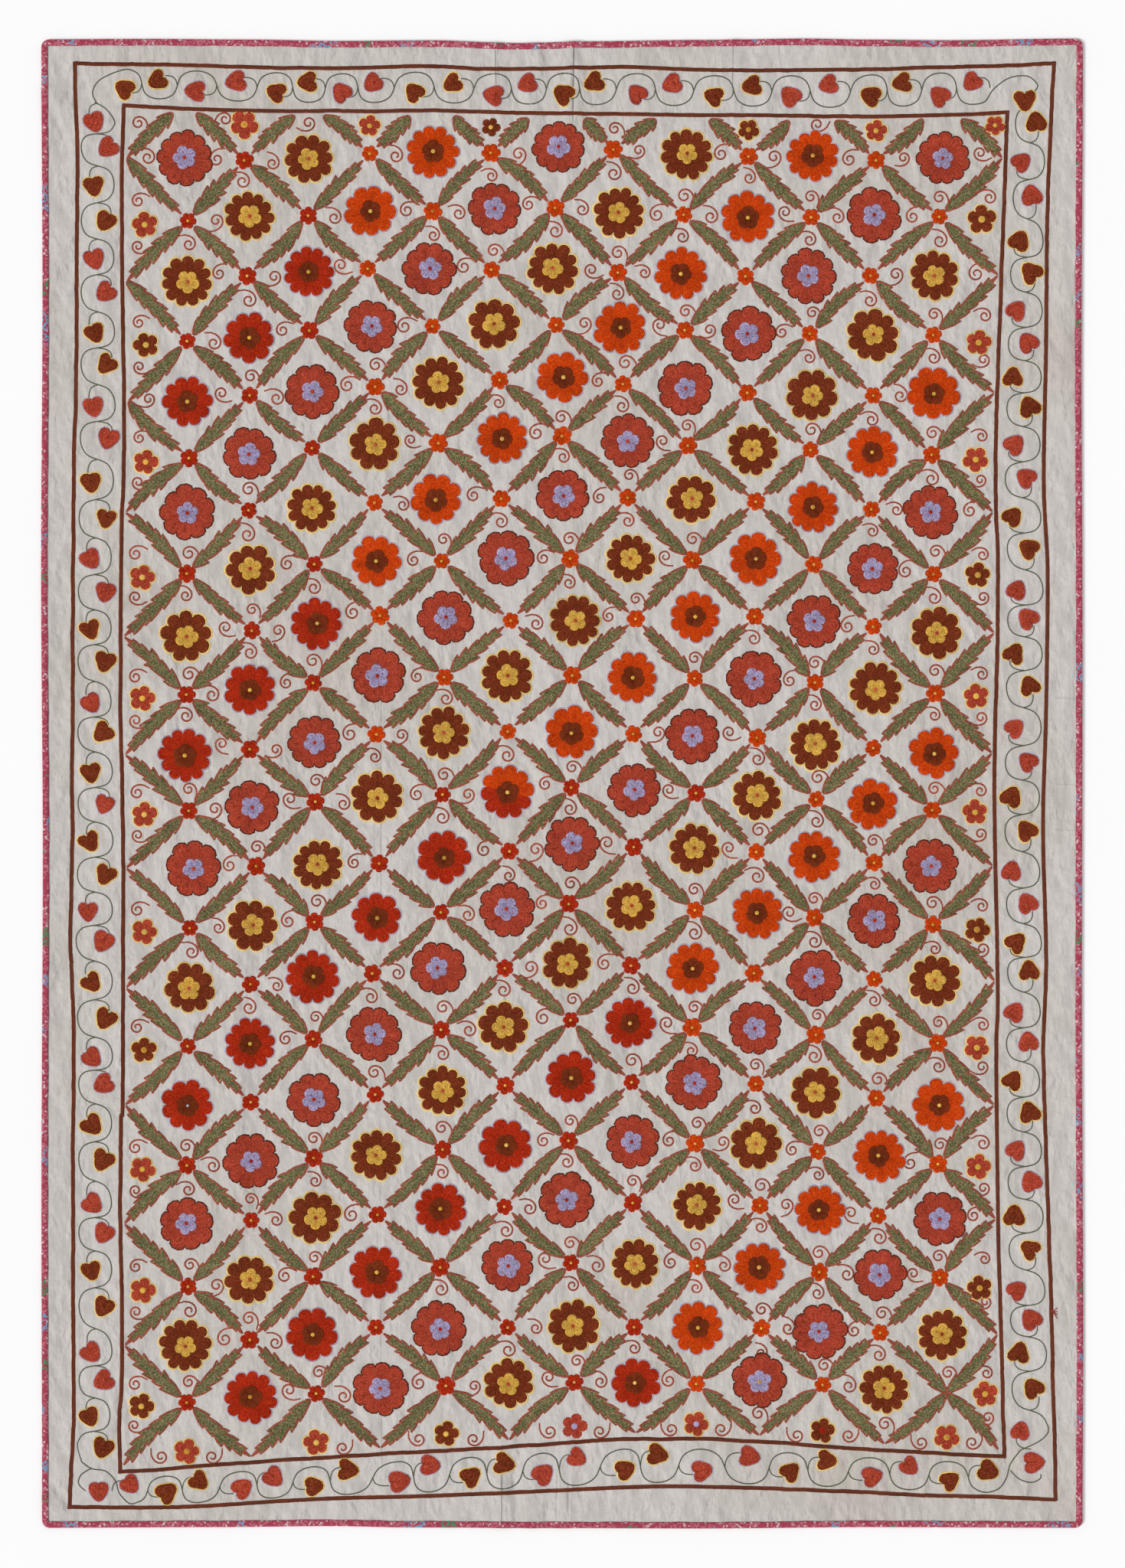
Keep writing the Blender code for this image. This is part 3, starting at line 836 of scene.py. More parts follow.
def smooth_path(points, step):
    """An even, rounded path through some points."""
    points = np.asarray(points, float)
    padded = np.concatenate(([2 * points[0] - points[1]], points, [2 * points[-1] - points[-2]]))
    pieces = []
    for a, b, c, d in zip(padded, padded[1:], padded[2:], padded[3:]):
        count = max(2, math.ceil(np.linalg.norm(c - b) / step))
        t = (np.arange(count) / count)[:, None]
        pieces.append(0.5 * ((2 * b) + (c - a) * t + (2 * a - 5 * b + 4 * c - d) * t ** 2
                             + (3 * b - a - 3 * c + d) * t ** 3))
    pieces.append(points[-1:])
    return np.concatenate(pieces)


def line_at(line, along):
    """Where a frame line is, in photo pixels, at a pixel along it."""
    table = np.array(line, float)
    return np.interp(along, table[:, 0], table[:, 1])


def lattice_pixel(i, j):
    """Photo pixel of a flower or button. Nodes that the frame cuts off lie on its inner line."""
    rows = sorted(LATTICE_ROWS)
    if 0 <= i <= LAST_COLUMN and 0 <= j <= LAST_ROW:
        columns = [[np.interp(j, rows, [LATTICE_ROWS[row][k][axis] for row in rows])
                    for k in range(len(LATTICE_COLUMNS))] for axis in (0, 1)]
        x, y = (np.interp(i, LATTICE_COLUMNS, column) for column in columns)
        shift = np.random.default_rng(900 + 31 * i + j).uniform(-STRAY, STRAY, 2)
        shift = shift + NUDGES.get((i, j), 0)
        return x + shift[0], y + shift[1]
    near_i, near_j = min(max(i, 0), LAST_COLUMN), min(max(j, 0), LAST_ROW)
    x, y = lattice_pixel(near_i, near_j)
    if i < 0:
        x = line_at(INNER_FRAME["left"], y) + SIDE_NODE_IN
    if i > LAST_COLUMN:
        x = line_at(INNER_FRAME["right"], y) - SIDE_NODE_IN
    if j < 0:
        y = y - TOP_NODE_UP
    if j > LAST_ROW:
        y = line_at(INNER_FRAME["bottom"], x) - BOTTOM_NODE_IN
    return x, y


def lattice_place(i, j):
    return place(*lattice_pixel(i, j))


def is_node(i, j):
    return (i + j) % 2 == 1


def node_places():
    """Every button inside the frame."""
    return [(i, j) for j in range(LAST_ROW + 1) for i in range(LAST_COLUMN + 1)
            if is_node(i, j) and (i, j) != NO_BUTTON]


def is_red(i, j):
    """Whether a button or an orange flower is worked in the deep red."""
    if (i + j) % 2 == 0:
        return i <= LAST_RED[i + j]
    return (i, j) == RED_BUTTON or i <= LAST_RED_BUTTON[j >= BUTTON_TURN_ROW]


def start(context, order, first_seed, names):
    """Settings, random numbers and empty threads by name, for an operator that embroiders."""
    settings = context.scene.suzani
    surface = Surface(settings)
    threads = {name: Thread(surface, settings, first_seed + k) for k, name in enumerate(names)}
    return settings, np.random.default_rng(settings.seed + order), threads


# Darker and lighter strands spun into some threads
STRANDS = {
    "green": (dye(56, 72, 46), dye(150, 139, 104)), "lavender": (dye(134, 88, 112), dye(172, 169, 206)),
    "yellow": (dye(176, 122, 48), dye(214, 176, 94)), "crimson": (dye(134, 42, 30), dye(180, 82, 60)),
    "brown": (dye(88, 34, 16), dye(136, 66, 38)), "orange": (dye(172, 46, 6), dye(206, 86, 26)),
    "red": (dye(142, 28, 14), dye(182, 60, 28)), "rust": (dye(124, 52, 38), dye(170, 96, 76)),
}


def build_threads(threads, prefix, settings):
    """Make one object of each thread that was used."""
    for name, thread in threads.items():
        if not thread.count:
            continue
        label = "thread_" + name
        material = bpy.data.materials.get(label) or thread_material(
            label, getattr(settings.thread, name)[:], STRANDS.get(name), settings)
        obj = thread.build(prefix + "_" + name, material)


class SUZANI_OT_ground(bpy.types.Operator):
    """Build the ground cloth with its folds"""
    bl_idname = "suzani.ground"
    bl_label = "Ground cloth"

    def execute(self, context):
        settings = context.scene.suzani
        cloth = settings.cloth
        surface = Surface(settings)
        x, y = surface.x.copy(), surface.y.copy()
        centre_x, centre_y = cloth.width / 2 - cloth.corner_radius, cloth.length / 2 - cloth.corner_radius
        dx, dy = np.abs(x) - centre_x, np.abs(y) - centre_y
        corner = (dx > 1e-6) & (dy > 1e-6)
        shrink = np.where(corner, np.maximum(dx, dy) / np.maximum(np.hypot(dx, dy), 1e-9), 1.0)
        x = np.where(corner, np.sign(x) * (centre_x + dx * shrink), x)
        y = np.where(corner, np.sign(y) * (centre_y + dy * shrink), y)
        x, y = wander(x, y, cloth)
        top = np.stack((x, y, surface.top), 2).reshape(-1, 3)
        under = np.stack((x, y, surface.under), 2).reshape(-1, 3)
        rows, columns = surface.x.shape
        index = np.arange(rows * columns).reshape(rows, columns)
        a, b = index[:-1, :-1].ravel(), index[:-1, 1:].ravel()
        c, d = index[1:, 1:].ravel(), index[1:, :-1].ravel()
        below = rows * columns
        rim = np.concatenate((index[0, :], index[1:, -1], index[-1, -2::-1], index[-2:0:-1, 0]))
        following = np.roll(rim, -1)
        faces = [np.stack((a, b, c, d), 1), below + np.stack((d, c, b, a), 1),
                 np.stack((below + rim, below + following, following, rim), 1)]
        obj = make_object("ground_cloth_shown", np.concatenate((top, under)), faces,
                          cotton_material(settings))
        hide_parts("ground_cloth")
        return {"FINISHED"}


class SUZANI_OT_binding(bpy.types.Operator):
    """Build the printed strips folded round the four edges"""
    bl_idname = "suzani.binding"
    bl_label = "Binding"

    def stations(self, side, cloth, step):
        """Feet of the cross-sections along one edge, each with its outward direction."""
        across = side in ("top", "bottom")
        sign = 1 if side in ("top", "right") else -1
        half_x = cloth.width / 2 - cloth.corner_radius
        half_y = cloth.length / 2 - cloth.corner_radius
        outward = np.array((0, sign)) if across else np.array((sign, 0))
        ahead = np.array((1, 0)) if across else np.array((0, 1))
        reach = half_x if across else half_y
        base = outward * (half_y if across else half_x)
        turns = np.radians(np.linspace(45, 0, 6)[:-1])
        feet, directions = [], []
        for turn in turns:
            feet.append(base - ahead * reach)
            directions.append(outward * math.cos(turn) - ahead * math.sin(turn))
        for along in np.linspace(-reach, reach, round(2 * reach / step) + 1):
            feet.append(base + ahead * along)
            directions.append(outward)
        for turn in turns[::-1]:
            feet.append(base + ahead * reach)
            directions.append(outward * math.cos(turn) + ahead * math.sin(turn))
        return np.array(feet, float), np.array(directions, float)

    def execute(self, context):
        settings = context.scene.suzani
        cloth, binding = settings.cloth, settings.binding
        material = print_material(settings)
        wall = binding.thickness
        top = 2 * wall + cloth.thickness + 2 * binding.gap
        bend = 0.0010
        section = np.array((
            (binding.width, 0.0003), (binding.width * 0.6, 0.0), (bend, 0.0), (bend * 0.3, bend * 0.3),
            (0.0, bend), (0.0, top - bend), (bend * 0.3, top - bend * 0.3), (bend, top),
            (binding.width * 0.5, top + 0.0003), (binding.width * 0.85, top + 0.0001),
            (binding.width, top - 0.0004), (binding.width, top - wall), (wall, top - wall),
            (wall, wall), (binding.width, wall)))
        for side in ("top", "bottom", "left", "right"):
            feet, directions = self.stations(side, cloth, 0.006)
            place_on = np.cumsum(np.linalg.norm(np.diff(feet, axis=0, prepend=feet[:1]), axis=1))
            wave = np.sin(place_on * 71) * 0.5 + np.sin(place_on * 173 + 1.3) * 0.35
            inward = section[:, 0] + (section[:, 0] >= binding.width * 0.8) * 0.0005 * wave[:, None]
            spot = feet[:, None] + directions[:, None] * (cloth.corner_radius - inward)[..., None]
            x, y = wander(spot[..., 0], spot[..., 1], cloth)
            rise = lift(feet[:, 0], feet[:, 1], cloth)[:, None]
            puff = (section[:, 1] >= top - 1e-6) * 0.00015 * (1 + np.sin(place_on * 410))[:, None]
            z = section[:, 1] + rise + puff
            count, ring = x.shape
            points = np.stack((x, y, z), 2).reshape(-1, 3)
            k, m = np.meshgrid(np.arange(count - 1), np.arange(ring), indexing="ij")
            n = (m + 1) % ring
            quads = np.stack((k * ring + m, k * ring + n, (k + 1) * ring + n, (k + 1) * ring + m), 2)
            ends = np.stack((np.arange(ring), (count - 1) * ring + np.arange(ring)[::-1]))
            if side in ("top", "left"):
                quads, ends = quads[..., ::-1], ends[:, ::-1]
            obj = make_object("binding_" + side + "_shown", points, [quads.reshape(-1, 4), ends],
                              material)
            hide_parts("binding_" + side)
        return {"FINISHED"}


# Kinds of large flower
# petal, edge, middle, dot: threads; size, notch, middle_notch: shares of the radius
# width, beyond, rise: metres, of the row round the petals; dot_radius: metres
FlowerKind = namedtuple("FlowerKind", "petal size notch edge width beyond rise middle middle_notch "
                                      "dot dot_radius")
FLOWER_KINDS = (
    FlowerKind("crimson", 1.00, 0.83, "dark_brown", 0.0023, 0.0002, 0.0007, "lavender", 0.68,
               "red", 0.0032),
    FlowerKind("brown", 0.94, 0.74, "pale_yellow", 0.0026, 0.0019, 0.0002, "yellow", 0.68,
               "crimson", 0.0032),
    FlowerKind("orange", 0.96, 0.77, "pale_lavender", 0.0021, 0.0015, 0.0002, "centre_brown", 0.86,
               "yellow", 0.0034),
)


class SUZANI_OT_flowers(bpy.types.Operator):
    """Embroider the large flowers, the buttons and the small flowers by the frame"""
    bl_idname = "suzani.flowers"
    bl_label = "Flowers"

    def small_flower(self, threads, centre, radius, petals, random, dot="yellow", halo=True):
        bloom = Bloom(centre, radius, 5, 0.62, random)
        bloom.fill(lambda angle: threads[petals], 3, radius * 0.2)
        if halo:
            bloom.outline(threads["pale_yellow"], 0.0024, 0.0013, 0.0002)
        threads[dot].knot(np.asarray(centre), radius * 0.30, 0.0005)

    def large_flower(self, threads, i, j, motif, random):
        kind = FLOWER_KINDS[(i + j) // 2 % len(FLOWER_KINDS)]
        petal = "red" if kind.petal == "orange" and is_red(i, j) else kind.petal
        centre = lattice_place(i, j)
        petals = motif.petals + int(random.integers(-1, 2))
        bloom = Bloom(centre, motif.flower_radius * kind.size * random.uniform(0.96, 1.04), petals,
                      kind.notch, random)

        def thread_of(angle):
            if (i, j) == TWO_TONE:
                return threads["red" if math.sin(angle) < -0.1 else "orange"]
            return threads[petal]

        bloom.fill(thread_of, motif.petal_rows, motif.centre_radius * 0.66)
        bloom.outline(threads[kind.edge], kind.width, kind.beyond, kind.rise)
        shift = random.uniform(-0.0012, 0.0012, 2)
        heart = Bloom(centre + shift, motif.centre_radius * random.uniform(0.94, 1.06), 5,
                      kind.middle_notch, random)
        heart.fill(lambda angle: threads[kind.middle], 3, 0.0022, 0.0006)
        dot = OTHER_DOTS.get((i, j), kind.dot)
        if dot:
            threads[dot].knot(centre + shift, kind.dot_radius, 0.0012)

    def edge_flowers(self, threads, radius, random):
        """The small flowers along the top, the bottom and the two sides."""
        for i, (letter, share) in TOP_FLOWERS.items():
            x = lattice_pixel(i, 0)[0]
            y = line_at(INNER_FRAME["top"], x) + TOP_IN
            self.small_flower(threads, place(x, y), radius * share, PETALS[letter], random,
                              halo=i not in NO_HALO)
        x, y, letter, share = TOP_LAST_FLOWER
        self.small_flower(threads, place(x, y), radius * share, PETALS[letter], random)
        radius = radius * 0.95
        for i, (letter, dot) in BOTTOM_FLOWERS.items():
            x = lattice_pixel(i, LAST_ROW + 1)[0]
            y = line_at(INNER_FRAME["bottom"], x) - BOTTOM_IN
            self.small_flower(threads, place(x, y), radius, PETALS[letter], random, dot,
                              halo=i not in NO_HALO)
        for j in range(1, LAST_ROW + 1, 2):
            y = lattice_pixel(0, j)[1]
            left = place(line_at(INNER_FRAME["left"], y) + LEFT_IN, y + 5)
            dx, dy, share = RIGHT_APART.get(j, (0, 0, 1.0))
            right = place(line_at(INNER_FRAME["right"], y) - RIGHT_IN + dx, y + 2 + dy)
            for spot, size, brown_rows in ((left, radius, LEFT_BROWN_ROWS),
                                           (right, radius * share, RIGHT_BROWN_ROWS)):
                self.small_flower(threads, spot, size, "brown" if j in brown_rows else "crimson", random)

    def execute(self, context):
        names = ("crimson", "brown", "orange", "red", "lavender", "pale_lavender", "yellow",
                 "pale_yellow", "dark_brown", "centre_brown")
        settings, random, threads = start(context, 0, 10, names)
        motif = settings.motif
        for j in range(LAST_ROW + 1):
            for i in range(LAST_COLUMN + 1):
                if not is_node(i, j):
                    self.large_flower(threads, i, j, motif, random)
        for i, j in node_places():
            centre = lattice_place(i, j)
            bloom = Bloom(centre, motif.button_radius * random.uniform(0.92, 1.08), 6, 0.84, random)
            thread = threads["red" if is_red(i, j) else "orange"]
            bloom.fill(lambda angle: thread, 2, 0.0014, 0.0002, 3)
            threads["yellow"].knot(centre, 0.0023, 0.0009)
        self.edge_flowers(threads, motif.edge_radius, random)
        build_threads(threads, "flower", settings)
        return {"FINISHED"}


class SUZANI_OT_leaves(bpy.types.Operator):
    """Embroider the toothed leaves that join the buttons into a lattice"""
    bl_idname = "suzani.leaves"
    bl_label = "Leaves"

    # place along the leaf, half width between the teeth as a share of the widest
    PROFILE = ((0.0, 0.34), (0.05, 0.80), (0.14, 1.0), (0.35, 1.0), (0.58, 0.92), (0.76, 0.68),
               (0.88, 0.42), (1.0, 0.08))
    # places where the teeth start and the last one ends
    TEETH = (0.01, 0.21, 0.40, 0.575, 0.735, 0.88)
    # even rows whose leaves to the right point down
    FALLING_ROWS = (0, 2, 4)

    def leaf(self, green, rust, base, tip, motif, random):
        ahead = tip - base
        length = np.linalg.norm(ahead)
        ahead = ahead / length
        aside = np.array((-ahead[1], ahead[0]))
        bow = random.uniform(-0.0055, 0.0055)
        half = motif.leaf_width / 2 * random.uniform(0.88, 1.10)
        profile = np.array(self.PROFILE)
        line = motif.leaf_line

        def spot(u, v):
            u = np.asarray(u, float)
            middle = base + ahead * (u[..., None] * length)
            return middle + aside * (bow * np.sin(u * math.pi) + np.asarray(v, float))[..., None]

        def core(u):
            return half * np.interp(u, profile[:, 0], profile[:, 1])

        u = np.linspace(0.0, 0.92, 9)
        rows = 4
        for k in range(rows):
            share = (k + 0.5) / rows * 2 - 1
            green.row(spot(u, share * core(u)), 2 * core(u) / rows * 1.4, FILL_RISE)
        for side in (-1, 1):
            starts = np.array(self.TEETH)
            starts[1:-1] += random.uniform(-0.045, 0.045, len(starts) - 2)
            for start, end in zip(starts, starts[1:]):
                reach = motif.tooth * np.interp(start, (0, 0.1, 0.5, 0.8), (0.85, 1.0, 1.0, 0.60))
                reach = reach * random.uniform(0.62, 1.25)
                point_u, point_v = end + 0.028, core(end) + reach
                bend = random.uniform(0.5, 0.66)
                u = np.array((start, start + (point_u - start) * 0.55, point_u - 0.012))
                foot = core(start)
                edge = np.array((foot, foot * (1 - bend) + point_v * bend, point_v - 0.0008))
                low = core(u) * 0.85
                green.row(spot(u, side * (low + edge) / 2), np.maximum(edge - low, 0.0005) * 1.1,
                          FILL_RISE + 0.0001)
                u[0] -= 0.010
                u[2] += 0.014
                edge = edge + np.array((0.0002, 0.0006, 0.0008))
                rust.row(spot(u, side * edge), line * np.array((1.0, 1.05, 0.55)), LINE_RISE)
                back = side * np.array((point_v, core(end) - 0.0004))
                rust.row(spot((point_u, end - 0.004), back), line * np.array((0.60, 1.0)), LINE_RISE)
        u = np.array((0.86, 0.93, 1.0))
        rust.row(spot(u, np.zeros(3)), np.array((0.6 * core(0.86), 2.2 * core(0.93), 0.0014)), 0.0005)
        for side in (-1, 1):
            rust.row(spot((0.885, 1.005), side * np.array((core(0.89), 0.0002))),
                     line * np.array((1.0, 0.7)), LINE_RISE)
            rust.row(spot((-0.02, 0.03), side * np.array((0.0004, core(0.03)))),
                     line * np.array((0.8, 1.0)), LINE_RISE)

    def ends(self, upper_node, lower_node, motif):
        """Base and tip of the leaf between two nodes, clear of their buttons and of the frame."""
        upper, lower = np.array(lattice_pixel(*upper_node)), np.array(lattice_pixel(*lower_node))
        cut = line_at(INNER_FRAME["top"], upper[0]) + 7
        if upper[1] < cut:
            upper = lower + (upper - lower) * (cut - lower[1]) / (upper[1] - lower[1])
        ends = []
        for node, pixel in ((upper_node, upper), (lower_node, lower)):
            inside = 0 <= node[0] <= LAST_COLUMN and 0 <= node[1] <= LAST_ROW
            gap = motif.button_radius * 1.15 if inside and node != NO_BUTTON else 0.002
            ends.append((place(*pixel), gap))
        # leaves of even rows point up, but for some near the top
        points_up = upper_node[1] % 2 == 0 and not (
            lower_node[0] > upper_node[0] and upper_node[1] in self.FALLING_ROWS)
        (base, base_gap), (tip, tip_gap) = reversed(ends) if points_up else ends
        ahead = (tip - base) / np.linalg.norm(tip - base)
        return base + ahead * base_gap, tip - ahead * tip_gap

    def execute(self, context):
        settings, random, threads = start(context, 1, 30, ("green", "rust"))
        motif = settings.motif
        for j in range(-1, LAST_ROW + 1):
            for i in range(-1, LAST_COLUMN + 2):
                for step in (-1, 1):
                    if is_node(i, j) and -1 <= i + step <= LAST_COLUMN + 1:
                        base, tip = self.ends((i, j), (i + step, j + 1), motif)
                        self.leaf(threads["green"], threads["rust"], base, tip, motif, random)
        build_threads(threads, "leaf", settings)
        return {"FINISHED"}


class SUZANI_OT_curls(bpy.types.Operator):
    """Embroider the curls that spring from the leaves"""
    bl_idname = "suzani.curls"
    bl_label = "Curls"

    # side of a node: direction of the curl in pixels, angle of its outer end, way it turns
    SIDES = {"R": ((35, 2), 135, -1), "L": ((-35, -2), 40, 1), "T": ((1, -27), -45, 1),
             "B": ((0, 30), 140, -1)}
    TURNS = 1.55

    def curl(self, thread, centre, start_angle, turn, radius):
        """A spiral whose outer end flares away at start_angle. turn is 1 or -1."""
        s = np.linspace(0.0, 1.0, 27)
        angle = start_angle + turn * math.tau * self.TURNS * s ** 0.92
        reach = radius * (0.18 + 0.82 * (1.0 - s) ** 0.85) + radius * 0.85 * np.exp(-s / 0.06)
        path = centre + np.stack((np.cos(angle), np.sin(angle)), 1) * reach[:, None]
        thread.row(path, np.interp(s, (0, 0.1, 0.8, 1), (0.0029, 0.0036, 0.0036, 0.0029)))

    def execute(self, context):
        settings, random, threads = start(context, 2, 40, ("rust",))
        radius = settings.motif.curl_radius
        thread = threads["rust"]
        wanted = []
        for j, text in CURLS.items():
            for word in text.split():
                column = word.rstrip("TLRB")
                wanted += [(int(column), j, side) for side in word[len(column):]]
        wanted += FRAME_CURLS
        for i, j, side in wanted:
            (dx, dy), angle, turn = self.SIDES[side]
            if random.random() < 0.35 and side in "LR":
                angle, turn, dy = -angle, -turn, dy - 3
            x, y = lattice_pixel(i, j)
            if not 0 <= i <= LAST_COLUMN:
                dx *= 0.82
            shift = random.uniform(-2.5, 2.5, 2)
            centre = place(x + dx + shift[0], y + dy + shift[1])
            self.curl(thread, centre, math.radians(angle + random.uniform(-20, 20)), turn,
                      radius * random.uniform(0.88, 1.1))
        for line, column, sign in (("left", 0, 1), ("right", LAST_COLUMN, -1)):
            for j in range(1, LAST_ROW + 1, 2):
                y = lattice_pixel(column, j)[1] + 3
                for up in (1,) if j in NO_LOWER_CURL[line] else (1, -1):
                    py = y + (-28 if up > 0 else 29) + random.uniform(-2, 2)
                    centre = place(line_at(INNER_FRAME[line], py) + sign * 20, py)
                    angle = 90 - sign * (90 - 20 * up)
                    self.curl(thread, centre, math.radians(angle), sign * up,
                              radius * random.uniform(0.85, 1.0))
        for i in BOTTOM_FLOWERS:
            x, y = lattice_pixel(i, LAST_ROW + 1)
            for sign in (1,) if i == NO_LEFT_CURL else (-1, 1):
                centre = place(x + sign * 34 + random.uniform(-2, 2), y - 6)
                self.curl(thread, centre, math.radians(90 - sign * 50), -sign, radius)
        for px, py, angle, turn in TOP_CURLS:
            self.curl(thread, place(px, py), math.radians(angle), turn, radius)
        build_threads(threads, "curl", settings)
        return {"FINISHED"}


class SUZANI_OT_border(bpy.types.Operator):
    """Embroider the brown frame lines, the vine and its hearts"""
    bl_idname = "suzani.border"
    bl_label = "Border"

    # shares of the way from the outer line to the inner one: hearts by the outer and the inner line,
    # the vine past each of them, and its middle
    TOP_HEART_LEVELS = (0.32, 0.60)
    HEART_LEVELS = (0.36, 0.67)
    VINE_LEVELS = (0.81, 0.11)
    MIDDLE = 0.46
    # pixels from the first and last heart to where the next one would be
    HEART_PITCH = 46
    # how far the vine swings along the side, in pixels
    SWING = 4.0
    HEART_ROWS = 5
    # how far a frame line strays at most
    WOBBLE = 0.0016
    VINE_WIDTH = 0.0026
    TENDRIL_WIDTH = 0.0024

    def frame_line(self, thread, lines, settings, random):
        """A double row right round the cloth."""
        width = settings.motif.frame_width / 2
        for side, table in lines.items():
            swap = side in ("left", "right")
            pixels = [(b, a) if swap else (a, b) for a, b in table]
            path = smooth_path([place(*pixel) for pixel in pixels], settings.stitch.step)
            wobble = np.cumsum(random.uniform(-0.0003, 0.0003, len(path)))
            wobble = (wobble - np.linspace(wobble[0], wobble[-1], len(path))) * 1.2
            path[:, 0 if swap else 1] += np.clip(wobble, -self.WOBBLE, self.WOBBLE)
            ahead = np.gradient(path, axis=0)
            ahead = ahead / np.linalg.norm(ahead, axis=1, keepdims=True)
            aside = np.stack((-ahead[:, 1], ahead[:, 0]), 1)
            path[0] -= ahead[0] * width * 0.85
            path[-1] += ahead[-1] * width * 0.85
            for offset in (-width * 0.42, width * 0.42):
                uneven = random.uniform(1.15, 1.45, len(path))
                thread.row(path + aside * offset, width * uneven, 0.0005)

    def strip_place(self, side, along, level):
        """A place in the border strip: pixel along the side, share of the way in."""
        outer, inner = line_at(OUTER_FRAME[side], along), line_at(INNER_FRAME[side], along)
        off = outer + (inner - outer) * level
        return place(off, along) if side in ("left", "right") else place(along, off)

    def heart(self, threads, centre, toward, letter, radius, random):
        """A filled heart of closed rows. toward is the angle at which its notch meets the tendril."""
        turn = np.linspace(-math.pi, math.pi, 19)[:-1]
        notch = random.uniform(0.16, 0.36)
        lobes, tip = (random.uniform(0.10, 0.15), 0.04) if letter == "b" else (0.08, 0.10)
        reach = 0.88 + lobes * np.cos(3 * turn) + tip * np.exp(-(turn / 0.36) ** 2)
        reach = reach - notch * np.exp(-((math.pi - np.abs(turn)) / 0.36) ** 2)
        reach = reach * (1.0 + 0.05 * (random.random(len(turn)) - 0.5))
        reach = reach * radius * random.uniform(0.92, 1.06)
        angle = turn + toward + math.pi + random.uniform(-0.4, 0.4)
        ring = np.stack((np.cos(angle), np.sin(angle)), 1)
        width = radius / self.HEART_ROWS * 1.3
        for k in range(self.HEART_ROWS):
            share = 1.0 - (k + 0.5) / self.HEART_ROWS
            path = centre + ring * (reach * share)[:, None]
            threads[PETALS[letter]].row(path, width, FILL_RISE, closed=True)
        edge, width = ("pale_yellow", 0.0024) if letter == "b" else ("pale_lavender", 0.0018)
        threads[edge].row(centre + ring * (reach + 0.0010)[:, None], width, 0.0002, closed=True)

    def heart_level(self, side, is_inner):
        return (self.TOP_HEART_LEVELS if side == "top" else self.HEART_LEVELS)[is_inner]

    def side_vine(self, side, inner, forward):
        """Points of the vine past each heart of a side, and the tendril of each."""
        tendrils = []
        alongs = HEARTS[side][0]
        last = len(alongs) - 1
        before, after = VINE_ENDS[side]
        places = [place(*pixel) for pixel in before]
        ends = (alongs[0] - self.HEART_PITCH, *alongs, alongs[-1] + self.HEART_PITCH)
        for k, along in enumerate(alongs):
            back, front = ends[k], ends[k + 2]
            for turn in (-72, -48, -24, 0, 24, 48, 72):
                if (k == 0 and before and turn < 0) or (k == last and after and turn > 0):
                    continue
                reach = (front - along if turn > 0 else along - back) * (turn / 180)
                reach += self.SWING * math.sin(math.radians(2 * turn))
                bulge = math.cos(math.radians(turn)) ** 0.75
                level = self.MIDDLE + (self.VINE_LEVELS[inner[k]] - self.MIDDLE) * bulge
                places.append(self.strip_place(side, along + reach, level))
            gap = ((front if forward > 0 else back) - along) / 2
            level, sign = self.heart_level(side, inner[k]), 1 if inner[k] else -1
            branch = self.strip_place(side, along + gap * 0.98, self.MIDDLE)
            bend = self.strip_place(side, along + gap * 0.95, level + sign * 0.10)
            end = self.strip_place(side, along + gap * 0.36, level + sign * 0.08)
            t = np.linspace(0, 1, 8)[:, None]
            tendrils.append(branch * (1 - t) ** 2 + bend * 2 * t * (1 - t) + end * t ** 2)
        places += [place(*pixel) for pixel in after]
        return places, tendrils

    def execute(self, context):
        names = ("frame", "vine", "brown", "crimson", "pale_lavender", "pale_yellow")
        settings, random, threads = start(context, 3, 50, names)
        motif = settings.motif
        for lines in (OUTER_FRAME, INNER_FRAME):
            self.frame_line(threads["frame"], lines, settings, random)
        # side: whether its first heart lies by the inner line, and the way its tendrils lead
        sides = {"top": (1, 1), "right": (0, 1), "bottom": (1, -1), "left": (0, -1)}
        for side, (first_inner, forward) in sides.items():
            alongs, letters = HEARTS[side]
            inner = [(k + first_inner) % 2 == 1 for k in range(len(alongs))]
            places, tendrils = self.side_vine(side, inner, forward)
            threads["vine"].row(smooth_path(places, settings.stitch.step), self.VINE_WIDTH)
            for path in tendrils:
                threads["vine"].row(path, self.TENDRIL_WIDTH)
            for along, letter, is_inner, path in zip(alongs, letters, inner, tendrils):
                level = self.heart_level(side, is_inner) + random.uniform(-0.03, 0.03)
                centre = self.strip_place(side, along, level)
                toward = math.atan2(path[-1, 1] - centre[1], path[-1, 0] - centre[0])
                self.heart(threads, centre, toward, letter, motif.heart_radius, random)
        for x, y, toward, letter in CORNER_HEARTS:
            self.heart(threads, place(x, y), math.radians(toward), letter, motif.heart_radius, random)
        for pixels in CORNER_TENDRILS:
            path = smooth_path([place(*pixel) for pixel in pixels], settings.stitch.step)
            threads["vine"].row(path, self.VINE_WIDTH)
        for lean in (-0.9, -0.3, 0.2, 0.8):
            drop = np.linspace(0, 1, 4)[:, None]
            path = place(*TUFT) + np.array((0.010, -0.004)) * drop
            path = path + np.array((0, 0.009)) * lean * drop ** 2
            threads["crimson"].row(path, 0.0013, 0.0008)
        build_threads(threads, "border", settings)
        return {"FINISHED"}


class SUZANI_OT_declare(bpy.types.Operator):
    bl_idname = "suzani.declare"
    bl_label = "Declare the cloth"

    def execute(self, context):
        threads = [obj for obj in bpy.data.objects
                   if obj.name.split("_")[0] in ("flower", "leaf", "curl", "border")]
        return {"FINISHED"}


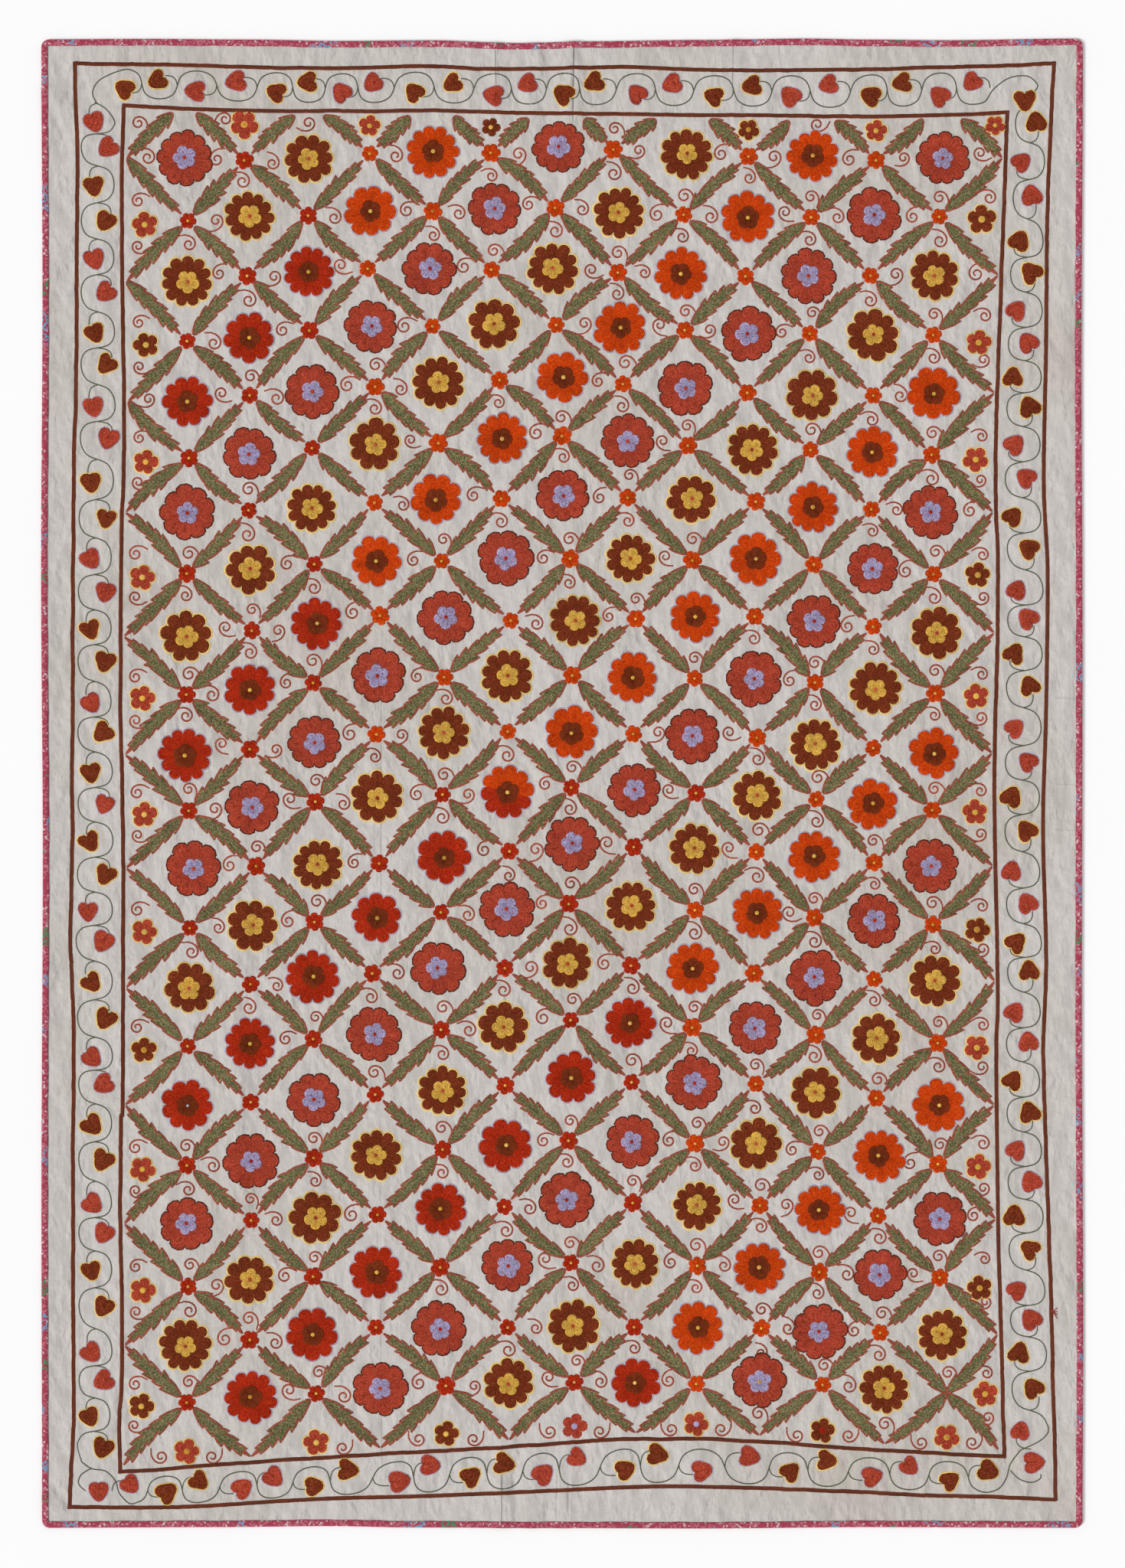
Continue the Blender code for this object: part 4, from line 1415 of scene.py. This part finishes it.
class SUZANI_OT_stage(bpy.types.Operator):
    """Set the floor, the light and the camera straight over the cloth"""
    bl_idname = "suzani.stage"
    bl_label = "Stage"

    def execute(self, context):
        scene = context.scene
        stage = scene.suzani.stage
        bpy.ops.mesh.primitive_plane_add(size=14.0, location=(0.0, 0.0, -0.0002))
        floor = context.active_object
        floor.name = "floor"
        floor.data.materials.append(floor_material(scene.suzani))

        world = bpy.data.worlds.new("soft_room")
        world.use_nodes = True
        background = world.node_tree.nodes["Background"]
        background.inputs["Color"].default_value = (1.0, 1.0, 1.0, 1.0)
        background.inputs["Strength"].default_value = stage.sky
        scene.world = world

        lamp = bpy.data.lights.new("soft_lamp", "SUN")
        lamp.energy = stage.lamp
        lamp.angle = math.radians(24)
        lamp_object = bpy.data.objects.new("soft_lamp", lamp)
        lamp_object.rotation_euler = (math.radians(18), math.radians(-50), 0.0)
        scene.collection.objects.link(lamp_object)

        camera = bpy.data.cameras.new("camera")
        camera.lens = stage.lens
        camera.sensor_width = 36.0
        camera_object = bpy.data.objects.new("camera", camera)
        camera_object.location = (0.5 * METRES_PER_PIXEL, -0.5 * METRES_PER_PIXEL, stage.height)
        scene.collection.objects.link(camera_object)
        scene.camera = camera_object
        scene.view_settings.view_transform = "Standard"
        return {"FINISHED"}


class SUZANI_PT_sidebar(bpy.types.Panel):
    """Lists the settings and the operators in the order they run"""
    bl_idname = "SUZANI_PT_sidebar"
    bl_label = "Suzani"
    bl_space_type = "VIEW_3D"
    bl_region_type = "UI"
    bl_category = "Suzani"

    def draw(self, context):
        settings = context.scene.suzani
        self.layout.prop(settings, "seed")
        for group in ("cloth", "binding", "stitch", "motif", "thread", "stage"):
            box = self.layout.box()
            box.label(text=group.capitalize())
            part = getattr(settings, group)
            for key in part.bl_rna.properties.keys():
                if key not in ("rna_type", "name"):
                    box.prop(part, key)
        for operator in OPERATORS:
            self.layout.operator(operator.bl_idname)


GROUPS = (ClothSettings, BindingSettings, StitchSettings, MotifSettings, ThreadSettings, StageSettings,
          SuzaniSettings)
OPERATORS = (SUZANI_OT_ground, SUZANI_OT_binding, SUZANI_OT_flowers, SUZANI_OT_leaves, SUZANI_OT_curls,
             SUZANI_OT_border, SUZANI_OT_declare, SUZANI_OT_stage)


def register():
    for cls in (*GROUPS, *OPERATORS, SUZANI_PT_sidebar):
        bpy.utils.register_class(cls)
    bpy.types.Scene.suzani = PointerProperty(type=SuzaniSettings)


def unregister():
    del bpy.types.Scene.suzani
    for cls in reversed((*GROUPS, *OPERATORS, SUZANI_PT_sidebar)):
        bpy.utils.unregister_class(cls)


def main():
    register()
    for name in ("ground", "binding", "flowers", "leaves", "curls", "border", "declare", "stage"):
        getattr(bpy.ops.suzani, name)()


if __name__ == "__main__":
    main()
